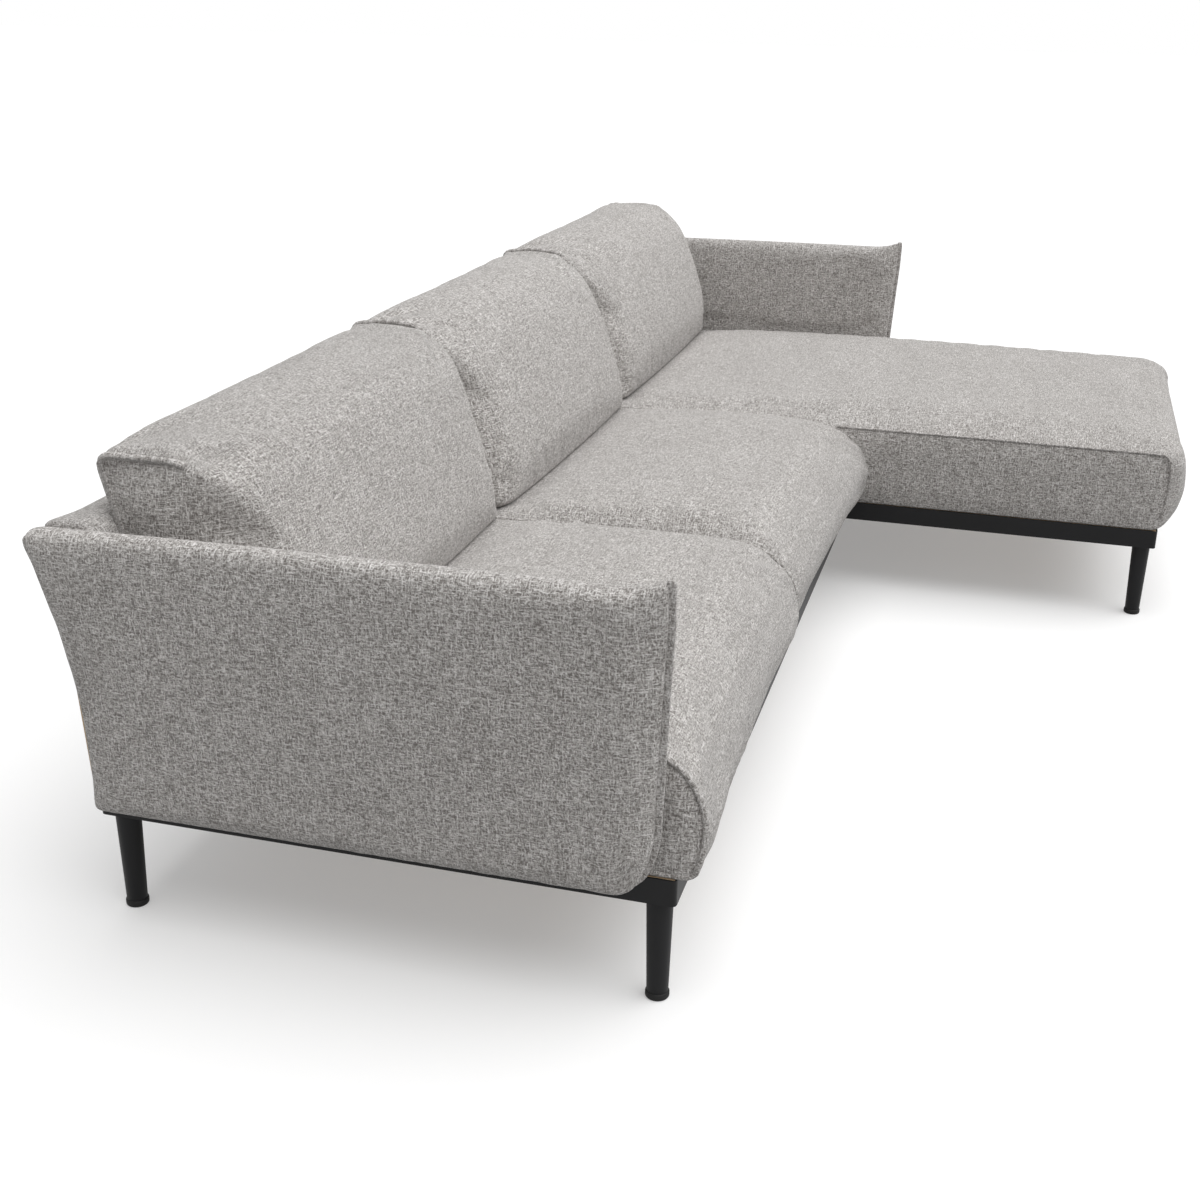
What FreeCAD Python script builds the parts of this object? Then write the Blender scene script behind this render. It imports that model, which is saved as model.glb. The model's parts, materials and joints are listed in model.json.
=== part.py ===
import FreeCAD, Part
import math
import os

import Sketcher
from FreeCAD import Placement, Rotation, Vector

# A sectional sofa with a chaise, in millimetres. X runs along the sofa with the chaise
# at +X, the sofa faces -Y and Z points up. The origin is on the floor, under the middle
# of the whole sofa's box.

SIZES = {
    # overall box in plan, and the two modules of the steel base
    "overall_width": 2770,
    "overall_depth": 1638,
    "base_side_inset": 75,
    "base_back_inset": 34,
    "sofa_base_depth": 871,
    "chaise_overhang": 49,
    "chaise_base_width": 910,
    # rails: folded steel trays, open upwards
    "rail_underside": 164,
    "rail_width": 56,
    "rail_height": 40,
    "rail_wall": 3,
    "rail_floor": 4,
    "rail_corner_radius": 8,
    # legs, their bolts and glides
    "leg_top_diameter": 38,
    "leg_bottom_diameter": 31,
    "leg_bolt_diameter": 10,
    "leg_bolt_reach": 45,
    "leg_bolt_head": 18,
    "joint_bolt_diameter": 6,
    "joint_bolt_head": 11,
    "bolt_head_height": 6,
    "middle_leg_setback": 430,
    "glide_height": 11,
    "glide_diameter": 34.5,
    "glide_edge": 2.5,
    # plywood decks under the cushions
    "deck_thickness": 12,
    "deck_vent_diameter": 60,
    "deck_vent_pitch": 600,
    # arms
    "arm_height": 648,
    "arm_skirt": 20,
    "arm_thickness": 44,
    "arm_flare": 40,
    "arm_crown": 9,
    "arm_nose_thickness": 24,
    "arm_setback": 10,
    "arm_corner_radius": 75,
    "arm_board_thickness": 18,
    # back
    "back_height": 640,
    "back_top_thickness": 93,
    "back_lean": 15,
    "back_board_thickness": 15,
    "back_board_inset": 20,
    "back_crown": 8,
    "bracket_leg": 20,
    "bracket_upright": 44,
    "bracket_width": 60,
    "bracket_thickness": 4,
    # seat and chaise cushions
    "seat_edge_height": 384,
    "seat_crown": 34,
    "seat_overhang": 40,
    "seat_front_bulge": 14,
    "chaise_front_bulge": 36,
    "bolster_depth": 135,
    "bolster_waist": 0.4,
    "bolster_toe": 40,
    "bearing_play": 30,
    # loose back cushions
    "back_cushion_top": 711,
    "back_cushion_crown": 31,
    "back_cushion_top_thickness": 158,
    "back_cushion_foot_thickness": 186,
    "back_cushion_round": 45,
    "back_cushion_heel": 18,
    "back_cushion_top_bow": 4,
    "back_cushion_belly": 36,
    "back_cushion_bow": 22,
    "cushion_play": 1.5,
    "arm_play": 16,
    "side_draw": 5,
    # running clearances
    "soft_gap": 0.3,
    "fit_gap": 0.5,
}

doc = FreeCAD.newDocument("sofa")
sheet = doc.addObject("Spreadsheet::Sheet", "Sizes")
for row, (alias, value) in enumerate(SIZES.items(), start=1):
    sheet.set(f"A{row}", alias)
    sheet.set(f"B{row}", str(value))
    sheet.setAlias(f"B{row}", alias)
doc.recompute()

SUB_PARTS = []
ROUNDING = 1e-4


def size(alias):
    """The value of one cell of the sheet."""
    return float(sheet.get(alias))


def cell(text):
    """An expression in which each alias of the sheet is read from the sheet."""
    words = text.replace("(", " ( ").replace(")", " ) ").split()
    return " ".join(f"Sizes.{word}" if word in SIZES else word for word in words)


def bind(thing, **formulas):
    """Bind properties of an object to formulas on the sheet's aliases."""
    for path, formula in formulas.items():
        thing.setExpression(path.replace("__", "."), cell(formula))


def keep(thing, label):
    """Give a finished sub-part the name of its file."""
    thing.Label = label
    SUB_PARTS.append(thing)
    return thing


def place(thing, x, y, z, turn=0):
    """Put an object at formulas of the sheet, turned about Z by a fixed angle."""
    thing.Placement = Placement(Vector(), Rotation(Vector(0, 0, 1), turn))
    bind(thing, Placement__Base__x=x, Placement__Base__y=y, Placement__Base__z=z)


# Places that several pieces share, as formulas
BACK = "( overall_depth / 2 - base_back_inset )"
SOFA_FRONT = f"( {BACK} - sofa_base_depth )"
CHAISE_FRONT = "( chaise_overhang - overall_depth / 2 )"
CHAISE_DEPTH = f"( {BACK} - {CHAISE_FRONT} )"
SIDE = "( overall_width / 2 - base_side_inset )"
JOINT = f"( {SIDE} - chaise_base_width )"
SEAT_SPLIT = f"( ( {JOINT} - {SIDE} ) / 2 )"
LEG_INSET = "( rail_width / 2 )"
RAIL_TOP = "( rail_underside + rail_height )"

# How deep a hole's cut goes, in thicknesses of the sheet that it pierces
CUT_THROUGH = "1.5"
# A sketch's first shapes, before its constraints size and place them
DRAFT_PLACE = 20
DRAFT_RADIUS = 3

# Steel rails


def plane(body, role):
    """One of the origin planes of a body."""
    return next(p for p in body.Origin.OriginFeatures if p.Role == role)


def new_sketch(body, name, role, lift="0"):
    """An empty sketch on an origin plane of a body, lifted along the plane's normal."""
    sketch = body.newObject("Sketcher::SketchObject", name)
    sketch.AttachmentSupport = (plane(body, role), [""])
    sketch.MapMode = "FlatFace"
    bind(sketch, AttachmentOffset__Base__z=lift)
    return sketch


def name_constraint(sketch, constraint, name, formula):
    """Add a constraint to a sketch and bind its value to a formula."""
    index = sketch.addConstraint(constraint)
    sketch.renameConstraint(index, name)
    sketch.setExpression(f"Constraints.{name}", cell(formula))


def add_rectangle(sketch, left, bottom, width, height):
    """A rectangle whose corner and sides are formulas. A corner of 0, 0 is pinned."""
    corners = [Vector(1, 1, 0), Vector(9, 1, 0), Vector(9, 9, 0), Vector(1, 9, 0)]
    first = sketch.GeometryCount
    for index in range(4):
        line = Part.LineSegment(corners[index], corners[(index + 1) % 4])
        sketch.addGeometry(line, False)
    for index in range(4):
        after = first + (index + 1) % 4
        sketch.addConstraint(Sketcher.Constraint("Coincident", first + index, 2, after, 1))
    for index, kind in ((0, "Horizontal"), (1, "Vertical"), (2, "Horizontal"), (3, "Vertical")):
        sketch.addConstraint(Sketcher.Constraint(kind, first + index))
    across = Sketcher.Constraint("DistanceX", first, 1, first, 2, 8)
    along = Sketcher.Constraint("DistanceY", first + 1, 1, first + 1, 2, 8)
    name_constraint(sketch, across, "wide", width)
    name_constraint(sketch, along, "deep", height)
    if left == "0":
        sketch.addConstraint(Sketcher.Constraint("PointOnObject", first, 1, -2))
    else:
        name_constraint(sketch, Sketcher.Constraint("DistanceX", -1, 1, first, 1, 1), "left", left)
    if bottom == "0":
        sketch.addConstraint(Sketcher.Constraint("PointOnObject", first, 1, -1))
    else:
        name_constraint(sketch, Sketcher.Constraint("DistanceY", -1, 1, first, 1, 1), "low", bottom)


def add_circles(sketch, centres, diameter):
    """Circles at formulas of both coordinates, all of one diameter."""
    for count, (across, along) in enumerate(centres):
        centre = Vector(DRAFT_PLACE * (count + 1), DRAFT_PLACE, 0)
        circle = Part.Circle(centre, Vector(0, 0, 1), DRAFT_RADIUS)
        index = sketch.addGeometry(circle, False)
        radius = Sketcher.Constraint("Radius", index, DRAFT_RADIUS)
        right = Sketcher.Constraint("DistanceX", -1, 1, index, 3, DRAFT_PLACE)
        up = Sketcher.Constraint("DistanceY", -1, 1, index, 3, DRAFT_PLACE)
        name_constraint(sketch, radius, f"radius{count}", f"( {diameter} ) / 2")
        name_constraint(sketch, right, f"across{count}", across)
        name_constraint(sketch, up, f"along{count}", along)


def pocket(body, sketch, depth=None):
    """Cut a sketch out of a body, to a depth or right through."""
    cut = body.newObject("PartDesign::Pocket", sketch.Name + "_cut")
    cut.Profile = sketch
    if depth is None:
        cut.Type = 1
    else:
        bind(cut, Length=depth)
    return cut


def edges_of(feature, test):
    """The names of a feature's edges whose two ends pass a test together."""
    names = []
    for index, edge in enumerate(feature.Shape.Edges, start=1):
        ends = [vertex.Point for vertex in edge.Vertexes]
        if len(ends) == 2 and test(*ends):
            names.append(f"Edge{index}")
    return names


def is_near(value, target):
    """Whether two lengths are the same but for rounding."""
    return abs(value - target) < ROUNDING


def add_bolt_holes(body, label, bolts):
    """Holes through a rail's floor for the leg bolts, at places along the rail."""
    holes = new_sketch(body, label + "_bolt_holes", "XY_Plane", "rail_floor")
    add_circles(holes, [(along, LEG_INSET) for along in bolts], "leg_bolt_diameter + fit_gap")
    pocket(body, holes, f"{CUT_THROUGH} * rail_floor")


def rail(label, length, x, y, turn, round_ends=(), low_ends=False, bolts=(), wall_bolts=()):
    """A steel tray along local X. Its outer wall is at local Y 0 and a deck rests on the other.

    round_ends names the ends (0 or 1) whose outer corner shows, low_ends takes the end
    walls down to the deck, bolts are the places of leg bolts along the rail, and
    wall_bolts those of bolts through the outer wall.
    """
    body = doc.addObject("PartDesign::Body", label)
    outline = new_sketch(body, label + "_outline", "XY_Plane")
    add_rectangle(outline, "0", "0", length, "rail_width")
    pad = body.newObject("PartDesign::Pad", label + "_pad")
    pad.Profile = outline
    bind(pad, Length="rail_height")
    doc.recompute()
    both_ends = (0.0, pad.Shape.BoundBox.XMax)

    def is_shown_corner(one, other):
        upright = is_near(one.x, other.x) and is_near(one.y, 0) and is_near(other.y, 0)
        return upright and any(is_near(one.x, both_ends[end]) for end in round_ends)

    if round_ends:
        corners = body.newObject("PartDesign::Fillet", label + "_corners")
        corners.Base = (pad, edges_of(pad, is_shown_corner))
        bind(corners, Radius="rail_corner_radius")
    cavity = new_sketch(body, label + "_cavity", "XY_Plane", "rail_height")
    inside = f"{length} - 2 * rail_wall"
    add_rectangle(cavity, "rail_wall", "rail_wall", inside, "rail_width - 2 * rail_wall")
    pocket(body, cavity, "rail_height - rail_floor")
    rebate = new_sketch(body, label + "_rebate", "XY_Plane", "rail_height")
    if low_ends:
        add_rectangle(rebate, "0", "rail_wall", length, "rail_width")
    else:
        add_rectangle(rebate, "rail_wall", "rail_wall", inside, "rail_width")
    pocket(body, rebate, "deck_thickness")
    if bolts:
        add_bolt_holes(body, label, bolts)
    if wall_bolts:
        holes = new_sketch(body, label + "_wall_holes", "XZ_Plane")
        add_circles(holes, wall_bolts, "joint_bolt_diameter + fit_gap")
        pocket(body, holes, f"{CUT_THROUGH} * rail_wall")
    place(body, x, y, "rail_underside", turn)
    return keep(body, label)


# Bolts through the outer walls, low enough that their heads clear the deck
WALL_BOLT_UP = "( rail_height - deck_thickness - joint_bolt_diameter )"
JOINT_BOLT_PLACES = ("0.25", "0.75")
# Through both modules' walls and one wall beyond
JOINT_BOLT_REACH = "( 3 * rail_wall )"

sofa_length = f"( {SIDE} + {JOINT} )"
sofa_inner_depth = "( sofa_base_depth - 2 * rail_width )"
chaise_inner_depth = f"( {CHAISE_DEPTH} - 2 * rail_width )"


JOINT_BOLTS = [(f"{sofa_inner_depth} * {share}", WALL_BOLT_UP) for share in JOINT_BOLT_PLACES]

rail("sofa_front_rail", sofa_length, f"- {SIDE}", SOFA_FRONT, 0, (0,), bolts=[LEG_INSET])
rail("sofa_back_rail", sofa_length, JOINT, BACK, 180, (1,), bolts=[f"{sofa_length} - {LEG_INSET}"])
rail("sofa_side_rail", sofa_inner_depth, f"- {SIDE}", f"{BACK} - rail_width", 270,
     low_ends=True)
rail("sofa_joint_rail", sofa_inner_depth, JOINT, f"{SOFA_FRONT} + rail_width", 90,
     low_ends=True, wall_bolts=JOINT_BOLTS)
rail("chaise_front_rail", "chaise_base_width", JOINT, CHAISE_FRONT, 0, (0, 1),
     bolts=[LEG_INSET, f"chaise_base_width - {LEG_INSET}"])
rail("chaise_back_rail", "chaise_base_width", SIDE, BACK, 180, (0,),
     bolts=[LEG_INSET, f"chaise_base_width - {LEG_INSET}"])
rail("chaise_inner_rail", chaise_inner_depth, JOINT, f"{BACK} - rail_width", 270,
     low_ends=True, wall_bolts=JOINT_BOLTS)
rail("chaise_outer_rail", chaise_inner_depth, SIDE, f"{CHAISE_FRONT} + rail_width", 90,
     low_ends=True)


def cross_rail(label, length, x, y, turn, bolts=()):
    """A tray across a module, with both walls down at the deck's underside."""
    body = doc.addObject("PartDesign::Body", label)
    outline = new_sketch(body, label + "_outline", "XY_Plane")
    add_rectangle(outline, "0", "0", length, "rail_width")
    pad = body.newObject("PartDesign::Pad", label + "_pad")
    pad.Profile = outline
    bind(pad, Length="rail_height - deck_thickness")
    cavity = new_sketch(body, label + "_cavity", "XY_Plane", "rail_height - deck_thickness")
    inside = f"{length} - 2 * rail_wall"
    add_rectangle(cavity, "rail_wall", "rail_wall", inside, "rail_width - 2 * rail_wall")
    pocket(body, cavity, "rail_height - deck_thickness - rail_floor")
    if bolts:
        add_bolt_holes(body, label, bolts)
    place(body, x, y, "rail_underside", turn)
    return keep(body, label)


cross_rail("sofa_middle_rail", sofa_inner_depth, f"{SEAT_SPLIT} + rail_width / 2",
           f"{SOFA_FRONT} + rail_width", 90, bolts=["middle_leg_setback"])
cross_rail("chaise_middle_rail", "chaise_base_width - 2 * rail_width",
           f"{JOINT} + rail_width", SOFA_FRONT, 0)

# Legs, glides and leg bolts

LEG_FLAT_COUNT = 32
LEG_PLACES = {
    "sofa": {
        "front": (f"{LEG_INSET} - {SIDE}", f"{SOFA_FRONT} + {LEG_INSET}"),
        "back": (f"{LEG_INSET} - {SIDE}", f"{BACK} - {LEG_INSET}"),
        "middle": (SEAT_SPLIT, f"{SOFA_FRONT} + rail_width + middle_leg_setback"),
    },
    "chaise": {
        "inner_front": (f"{JOINT} + {LEG_INSET}", f"{CHAISE_FRONT} + {LEG_INSET}"),
        "outer_front": (f"{SIDE} - {LEG_INSET}", f"{CHAISE_FRONT} + {LEG_INSET}"),
        "inner_back": (f"{JOINT} + {LEG_INSET}", f"{BACK} - {LEG_INSET}"),
        "outer_back": (f"{SIDE} - {LEG_INSET}", f"{BACK} - {LEG_INSET}"),
    },
}


def cylinder(name, radius, height, lift="0"):
    """A round bar about local Z."""
    bar = doc.addObject("Part::Cylinder", name)
    bind(bar, Radius=radius, Height=height, Placement__Base__z=lift)
    return bar


def joined(kind, name, base, tool):
    """The boolean of two objects, a Part::Cut or a Part::Fuse."""
    result = doc.addObject(kind, name)
    result.Base = base
    result.Tool = tool
    return result


def ring(name, diameter, lift):
    """A round outline of many flats, which keep the mesh of a taper light."""
    outline = doc.addObject("Part::RegularPolygon", name)
    outline.Polygon = LEG_FLAT_COUNT
    bind(outline, Circumradius=f"{diameter} / 2", Placement__Base__z=lift)
    return outline


def leg(corner, x, y):
    """A tapered round leg, bored at the top for its bolt."""
    label = corner + "_leg"
    shaft = doc.addObject("Part::Loft", label + "_shaft")
    shaft.Sections = [ring(label + "_foot", "leg_bottom_diameter", "0"),
                      ring(label + "_head", "leg_top_diameter", "rail_underside - glide_height")]
    shaft.Solid = True
    shaft.Ruled = True
    shaft.Linearize = True
    bore = cylinder(label + "_bore", "( leg_bolt_diameter + fit_gap ) / 2",
                    "leg_bolt_reach + 2 * fit_gap",
                    "rail_underside - glide_height - leg_bolt_reach - fit_gap")
    bored = joined("Part::Cut", label, shaft, bore)
    place(bored, x, y, "glide_height")
    return keep(bored, label)


def glide(corner, x, y):
    """A rubber disc under a leg, chamfered where it meets the floor."""
    name = corner + "_glide"
    disc = cylinder(name + "_disc", "glide_diameter / 2", "glide_height")
    chamfered = doc.addObject("Part::Chamfer", name)
    chamfered.Base = disc
    doc.recompute()
    edge = size("glide_edge")
    chamfered.Edges = [(index, edge, edge) for index, rim in enumerate(disc.Shape.Edges, start=1)
                       if isinstance(rim.Curve, Part.Circle) and is_near(rim.CenterOfMass.z, 0)]
    place(chamfered, x, y, "0")
    return chamfered


def hex_bolt(name, kind, reach):
    """A bolt about local Z: its head stands on Z 0 and its shank hangs below."""
    head = doc.addObject("Part::Prism", name + "_head")
    bind(head, Circumradius=f"{kind}_head / 2", Height="bolt_head_height")
    shank = cylinder(name + "_shank", f"{kind}_diameter / 2",
                     f"{reach} + bolt_head_height / 2", f"- ( {reach} )")
    return joined("Part::Fuse", name, head, shank)


def group(label, members):
    """Identical pieces as one sub-part of separate solids."""
    together = doc.addObject("Part::Compound", label)
    together.Links = members
    return keep(together, label)


leg_bolts = []
for module, corners in LEG_PLACES.items():
    glides = []
    for corner, (x, y) in corners.items():
        name = f"{module}_{corner}"
        leg(name, x, y)
        glides.append(glide(name, x, y))
        bolt = hex_bolt(name + "_bolt", "leg_bolt", "leg_bolt_reach - fit_gap")
        place(bolt, x, y, "rail_underside + rail_floor")
        leg_bolts.append(bolt)
    group(module + "_glides", glides)
group("leg_bolts", leg_bolts)

joint_bolts = []
for along, up in JOINT_BOLTS:
    bolt = hex_bolt(f"joint_bolt{len(joint_bolts)}", "joint_bolt", JOINT_BOLT_REACH)
    place(bolt, f"{JOINT} - rail_wall", f"{BACK} - rail_width - {along}",
          f"rail_underside + {up}")
    bolt.Placement.Rotation = Rotation(Vector(0, 1, 0), -90)
    joint_bolts.append(bolt)
group("joint_bolts", joint_bolts)

# Plywood decks


def deck(label, length, depth, x, y, rows):
    """A plywood panel that lies on the rails' inner walls, with rows of vent holes."""
    body = doc.addObject("PartDesign::Body", label)
    outline = new_sketch(body, label + "_outline", "XY_Plane")
    add_rectangle(outline, "0", "0", length, depth)
    pad = body.newObject("PartDesign::Pad", label + "_pad")
    pad.Profile = outline
    bind(pad, Length="deck_thickness")
    doc.recompute()
    across = pad.Shape.BoundBox.XLength
    columns = int(across / size("deck_vent_pitch"))
    margin = f"( ( {length} ) - {columns - 1} * deck_vent_pitch ) / 2"
    for row in range(rows):
        holes = new_sketch(body, f"{label}_vent{row}", "XY_Plane", "deck_thickness")
        along = f"( {depth} ) * {(row + 1) / (rows + 1):.4f}"
        add_circles(holes, [(margin, along)], "deck_vent_diameter")
        cut = pocket(body, holes)
        doc.recompute()
        pattern = body.newObject("PartDesign::LinearPattern", f"{label}_vents{row}")
        pattern.Originals = [cut]
        pattern.Direction = (holes, ["H_Axis"])
        pattern.Occurrences = columns
        bind(pattern, Length=f"deck_vent_pitch * {columns - 1}")
        body.Tip = pattern
        doc.recompute()
    place(body, x, y, f"{RAIL_TOP} - deck_thickness")
    return keep(body, label)


DECK_EDGE = "( rail_wall + fit_gap )"
deck("sofa_deck", f"{sofa_length} - 2 * {DECK_EDGE}", f"sofa_base_depth - 2 * {DECK_EDGE}",
     f"{DECK_EDGE} - {SIDE}", f"{SOFA_FRONT} + {DECK_EDGE}", 2)
deck("chaise_deck", f"chaise_base_width - 2 * {DECK_EDGE}",
     f"{CHAISE_DEPTH} - 2 * {DECK_EDGE}", f"{JOINT} + {DECK_EDGE}",
     f"{CHAISE_FRONT} + {DECK_EDGE}", 3)

# Steel brackets that hold the arm and back boards on the decks


def bracket(name, x, y, turn):
    """An angle: a leg along local X on the deck and an upright at its far end."""
    flat = doc.addObject("Part::Box", name + "_leg")
    bind(flat, Length="bracket_leg", Width="bracket_width", Height="bracket_thickness",
         Placement__Base__y="- bracket_width / 2")
    upright = doc.addObject("Part::Box", name + "_upright")
    bind(upright, Length="bracket_thickness", Width="bracket_width", Height="bracket_upright",
         Placement__Base__x="bracket_leg - bracket_thickness",
         Placement__Base__y="- bracket_width / 2")
    angle = joined("Part::Fuse", name, flat, upright)
    place(angle, x, y, RAIL_TOP, turn)
    return angle


ARM_BRACKET_SHARES = (0.2, 0.45, 0.7)
BACK_BRACKET_SHARES = {"sofa": (0.1, 0.37, 0.63, 0.9), "chaise": (0.2, 0.8)}
BACK_RUNS = {"sofa": (f"- {SIDE}", sofa_length), "chaise": (JOINT, "chaise_base_width")}

arm_brackets = []
for share in ARM_BRACKET_SHARES:
    along = f"{SOFA_FRONT} + sofa_base_depth * {share}"
    reach = f"( {SIDE} - bracket_leg )"
    arm_brackets.append(bracket(f"arm_bracket{len(arm_brackets)}", reach, along, 0))
    arm_brackets.append(bracket(f"arm_bracket{len(arm_brackets)}", f"- {reach}", along, 180))
group("arm_brackets", arm_brackets)

back_brackets = []
BOARD_FACE = f"( {BACK} + rail_wall - back_board_inset - back_board_thickness )"
for module, (start, run) in BACK_RUNS.items():
    for share in BACK_BRACKET_SHARES[module]:
        across = f"{start} + {run} * {share}"
        name = f"back_bracket{len(back_brackets)}"
        back_brackets.append(bracket(name, across, f"{BOARD_FACE} - bracket_leg", 90))
group("back_brackets", back_brackets)
doc.recompute()

# Upholstered pieces: lofts through sections of lines and short arcs


def loop(*path):
    """A closed wire from corners and, between two corners, tuples (mid point,) of an arc."""
    points = list(path) + [path[0]]
    edges = []
    start = points[0]
    through = None
    for point in points[1:]:
        if isinstance(point, tuple):
            through = point[0]
            continue
        if through is None:
            edges.append(Part.makeLine(start, point))
        else:
            edges.append(Part.Arc(start, through, point).toShape())
        start, through = point, None
    return Part.Wire(edges)


def on_ellipse(centre, across, up, degrees, lift):
    """A point at an angle on an ellipse of two half axes, mapped to 3-D by lift."""
    angle = math.radians(degrees)
    return lift(centre[0] + across * math.cos(angle), centre[1] + up * math.sin(angle))


def soft(label, shape):
    """A sub-part whose shape comes from the functions here."""
    piece = doc.addObject("Part::Feature", label)
    piece.Shape = shape
    return keep(piece, label)


soft_gap = size("soft_gap")
half_width = size("overall_width") / 2
half_depth = size("overall_depth") / 2
rail_top = size("rail_underside") + size("rail_height")
side_x = half_width - size("base_side_inset")
joint_x = side_x - size("chaise_base_width")
base_back = half_depth - size("base_back_inset")
sofa_front = base_back - size("sofa_base_depth")
arm_height = size("arm_height")
arm_foot = rail_top - size("arm_skirt")
arm_thickness = size("arm_thickness")
arm_round = arm_thickness / 2
arm_slope = size("arm_flare") / (arm_height - arm_round - arm_foot)
lean = math.tan(math.radians(size("back_lean")))
back_height = size("back_height")
seat_height = size("seat_edge_height")


# A crown never falls to nothing, so that every section has the same lines and arcs
LEAST_CROWN = 0.1
# How far a quarter round's middle lies from its square corner's sides, for a radius of 1
QUARTER_MIDDLE = 1 - math.cos(math.radians(45))
# Degrees round an ellipse: its crest, and the middles of the quarters before and after it
BEFORE_CREST, CREST, AFTER_CREST = 135, 90, 45
# The rounding under an arm's outer face, as a share of the arm's thickness
ARM_CORNER_SHARE = 0.2
NOSE_STEPS = 4
CROWN_STEPS = 6


def arm_outer(z):
    """Distance of an arm's outer face from the middle of the sofa, at a height."""
    return half_width - size("arm_flare") + arm_slope * (z - arm_foot)


def arm_inner(z):
    """Distance of an arm's inner face from the middle of the sofa, at a height."""
    return arm_outer(z) - arm_thickness


seat_side = arm_inner(rail_top) - soft_gap
seat_split = (joint_x - seat_side) / 2


def back_front(z):
    """Y of the back's front face at a height."""
    return half_depth - size("back_top_thickness") - lean * (back_height - z)


back_foot_y = base_back + size("rail_wall")


def back_rear(z):
    """Y of the back's rear face at a height, a straight lean from the rail to the top."""
    return back_foot_y + (half_depth - back_foot_y) * (z - rail_top) / (back_height - rail_top)


def fullness(angle):
    """The share of a crown at an angle from its edge, 0, to its fullest, a right angle."""
    return LEAST_CROWN + (1 - LEAST_CROWN) * math.sin(angle)


def crown_stations(x_low, x_high):
    """Places across a cushion, closer together at its sides, with the crown's share at each."""
    for step in range(CROWN_STEPS + 1):
        angle = math.pi * step / CROWN_STEPS
        across = (1 - math.cos(angle)) / 2
        yield x_low + (x_high - x_low) * across, fullness(angle)


def arm_section(y_foot, y_top, foot, thickness, crown, side):
    """One section across an arm, in a plane that may lean back with the sofa's back."""
    low, high = foot, arm_height - arm_round
    round_out = thickness / 2
    corner = thickness * ARM_CORNER_SHARE
    nip = QUARTER_MIDDLE * corner

    def lift(x, z):
        share = (z - arm_foot) / (arm_height - arm_foot)
        return Vector(side * x, y_foot + (y_top - y_foot) * share, z)

    def inner(z):
        return arm_outer(z) - thickness

    middle = (low + high) / 2
    crest = (arm_outer(high) - round_out, high)
    return loop(
        lift(inner(low), low),
        lift(inner(high), high),
        (on_ellipse(crest, round_out, arm_round, BEFORE_CREST, lift),),
        on_ellipse(crest, round_out, arm_round, CREST, lift),
        (on_ellipse(crest, round_out, arm_round, AFTER_CREST, lift),),
        lift(arm_outer(high), high),
        (lift(arm_outer(middle) + crown, middle),),
        lift(arm_outer(low + corner), low + corner),
        (lift(arm_outer(low) - nip, low + nip),),
        lift(arm_outer(low) - corner, low),
    )


def rail_room(side):
    """The space that an arm leaves for the rail that it hangs over."""
    edge = side_x + soft_gap
    start = Vector(min(0, side * edge), -half_depth, 0)
    return Part.makeBox(edge, 2 * half_depth, rail_top + soft_gap, start)


def arm_board(side):
    """The plywood board inside an arm, bolted to the outer wall of the rail."""
    thick = size("arm_board_thickness")
    sink = thick * math.sin(math.atan(arm_slope))
    foot = arm_foot + sink + 2 * size("fit_gap")
    length = half_depth - sofa_front - 2 * arm_thickness
    height = arm_height - arm_thickness - foot
    board = Part.makeBox(thick, length, height)
    uprights = [edge for edge in board.Edges if is_near(edge.BoundBox.XLength, thick)]
    board = board.makeFillet(arm_thickness / 2, uprights)
    tilt = Rotation(Vector(0, 1, 0), math.degrees(math.atan(arm_slope)))
    board.Placement = Placement(Vector(), tilt)
    start = Vector(side_x + 2 * soft_gap, sofa_front + arm_thickness, foot)
    board.translate(start)
    if side < 0:
        board = board.mirror(Vector(), Vector(1, 0, 0))
    return board


def without(shape, fasteners):
    """A padded shape with room cut for the brackets that it hides."""
    for fastener in fasteners:
        room = fastener.Shape.BoundBox
        room.enlarge(size("fit_gap"))
        if shape.BoundBox.intersect(room):
            start = Vector(room.XMin, room.YMin, room.ZMin)
            shape = shape.cut(Part.makeBox(room.XLength, room.YLength, room.ZLength, start))
    return shape


def arm(name, side):
    """An arm: a padded shell round its board, drawn to a thin nose at the front."""
    nose = size("arm_nose_thickness")
    tip = sofa_front + size("arm_setback")
    radius = size("arm_corner_radius")
    crown = size("arm_crown")
    full = arm_thickness
    rear_foot = back_foot_y
    stations = []
    for step in range(NOSE_STEPS):
        angle = math.pi / 2 * step / NOSE_STEPS
        swell = math.sin(angle)
        y = tip + radius * (1 - math.cos(angle))
        foot = arm_foot + radius * (1 - swell)
        stations.append((y, y, foot, nose + (full - nose) * swell, crown * fullness(angle)))
    middle = (tip + rear_foot) / 2
    stations.append((middle, middle, arm_foot, full, crown))
    rear_radius = arm_round
    for angle in (math.pi / 2, math.pi / 4, 0):
        back_off = rear_radius * (1 - math.cos(angle))
        foot = arm_foot + rear_radius * (1 - math.sin(angle))
        rear = (rear_foot - back_off, half_depth - back_off)
        stations.append((*rear, foot, full, crown * fullness(angle)))
    wires = [arm_section(*station, side) for station in stations]
    shell = Part.makeLoft(wires, True, True)
    board = arm_board(side)
    soft(name + "_arm_board", board)
    soft(name + "_arm", without(shell.cut(rail_room(side)).cut(board), arm_brackets))


arm("sofa", -1)
arm("chaise", 1)


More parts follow.
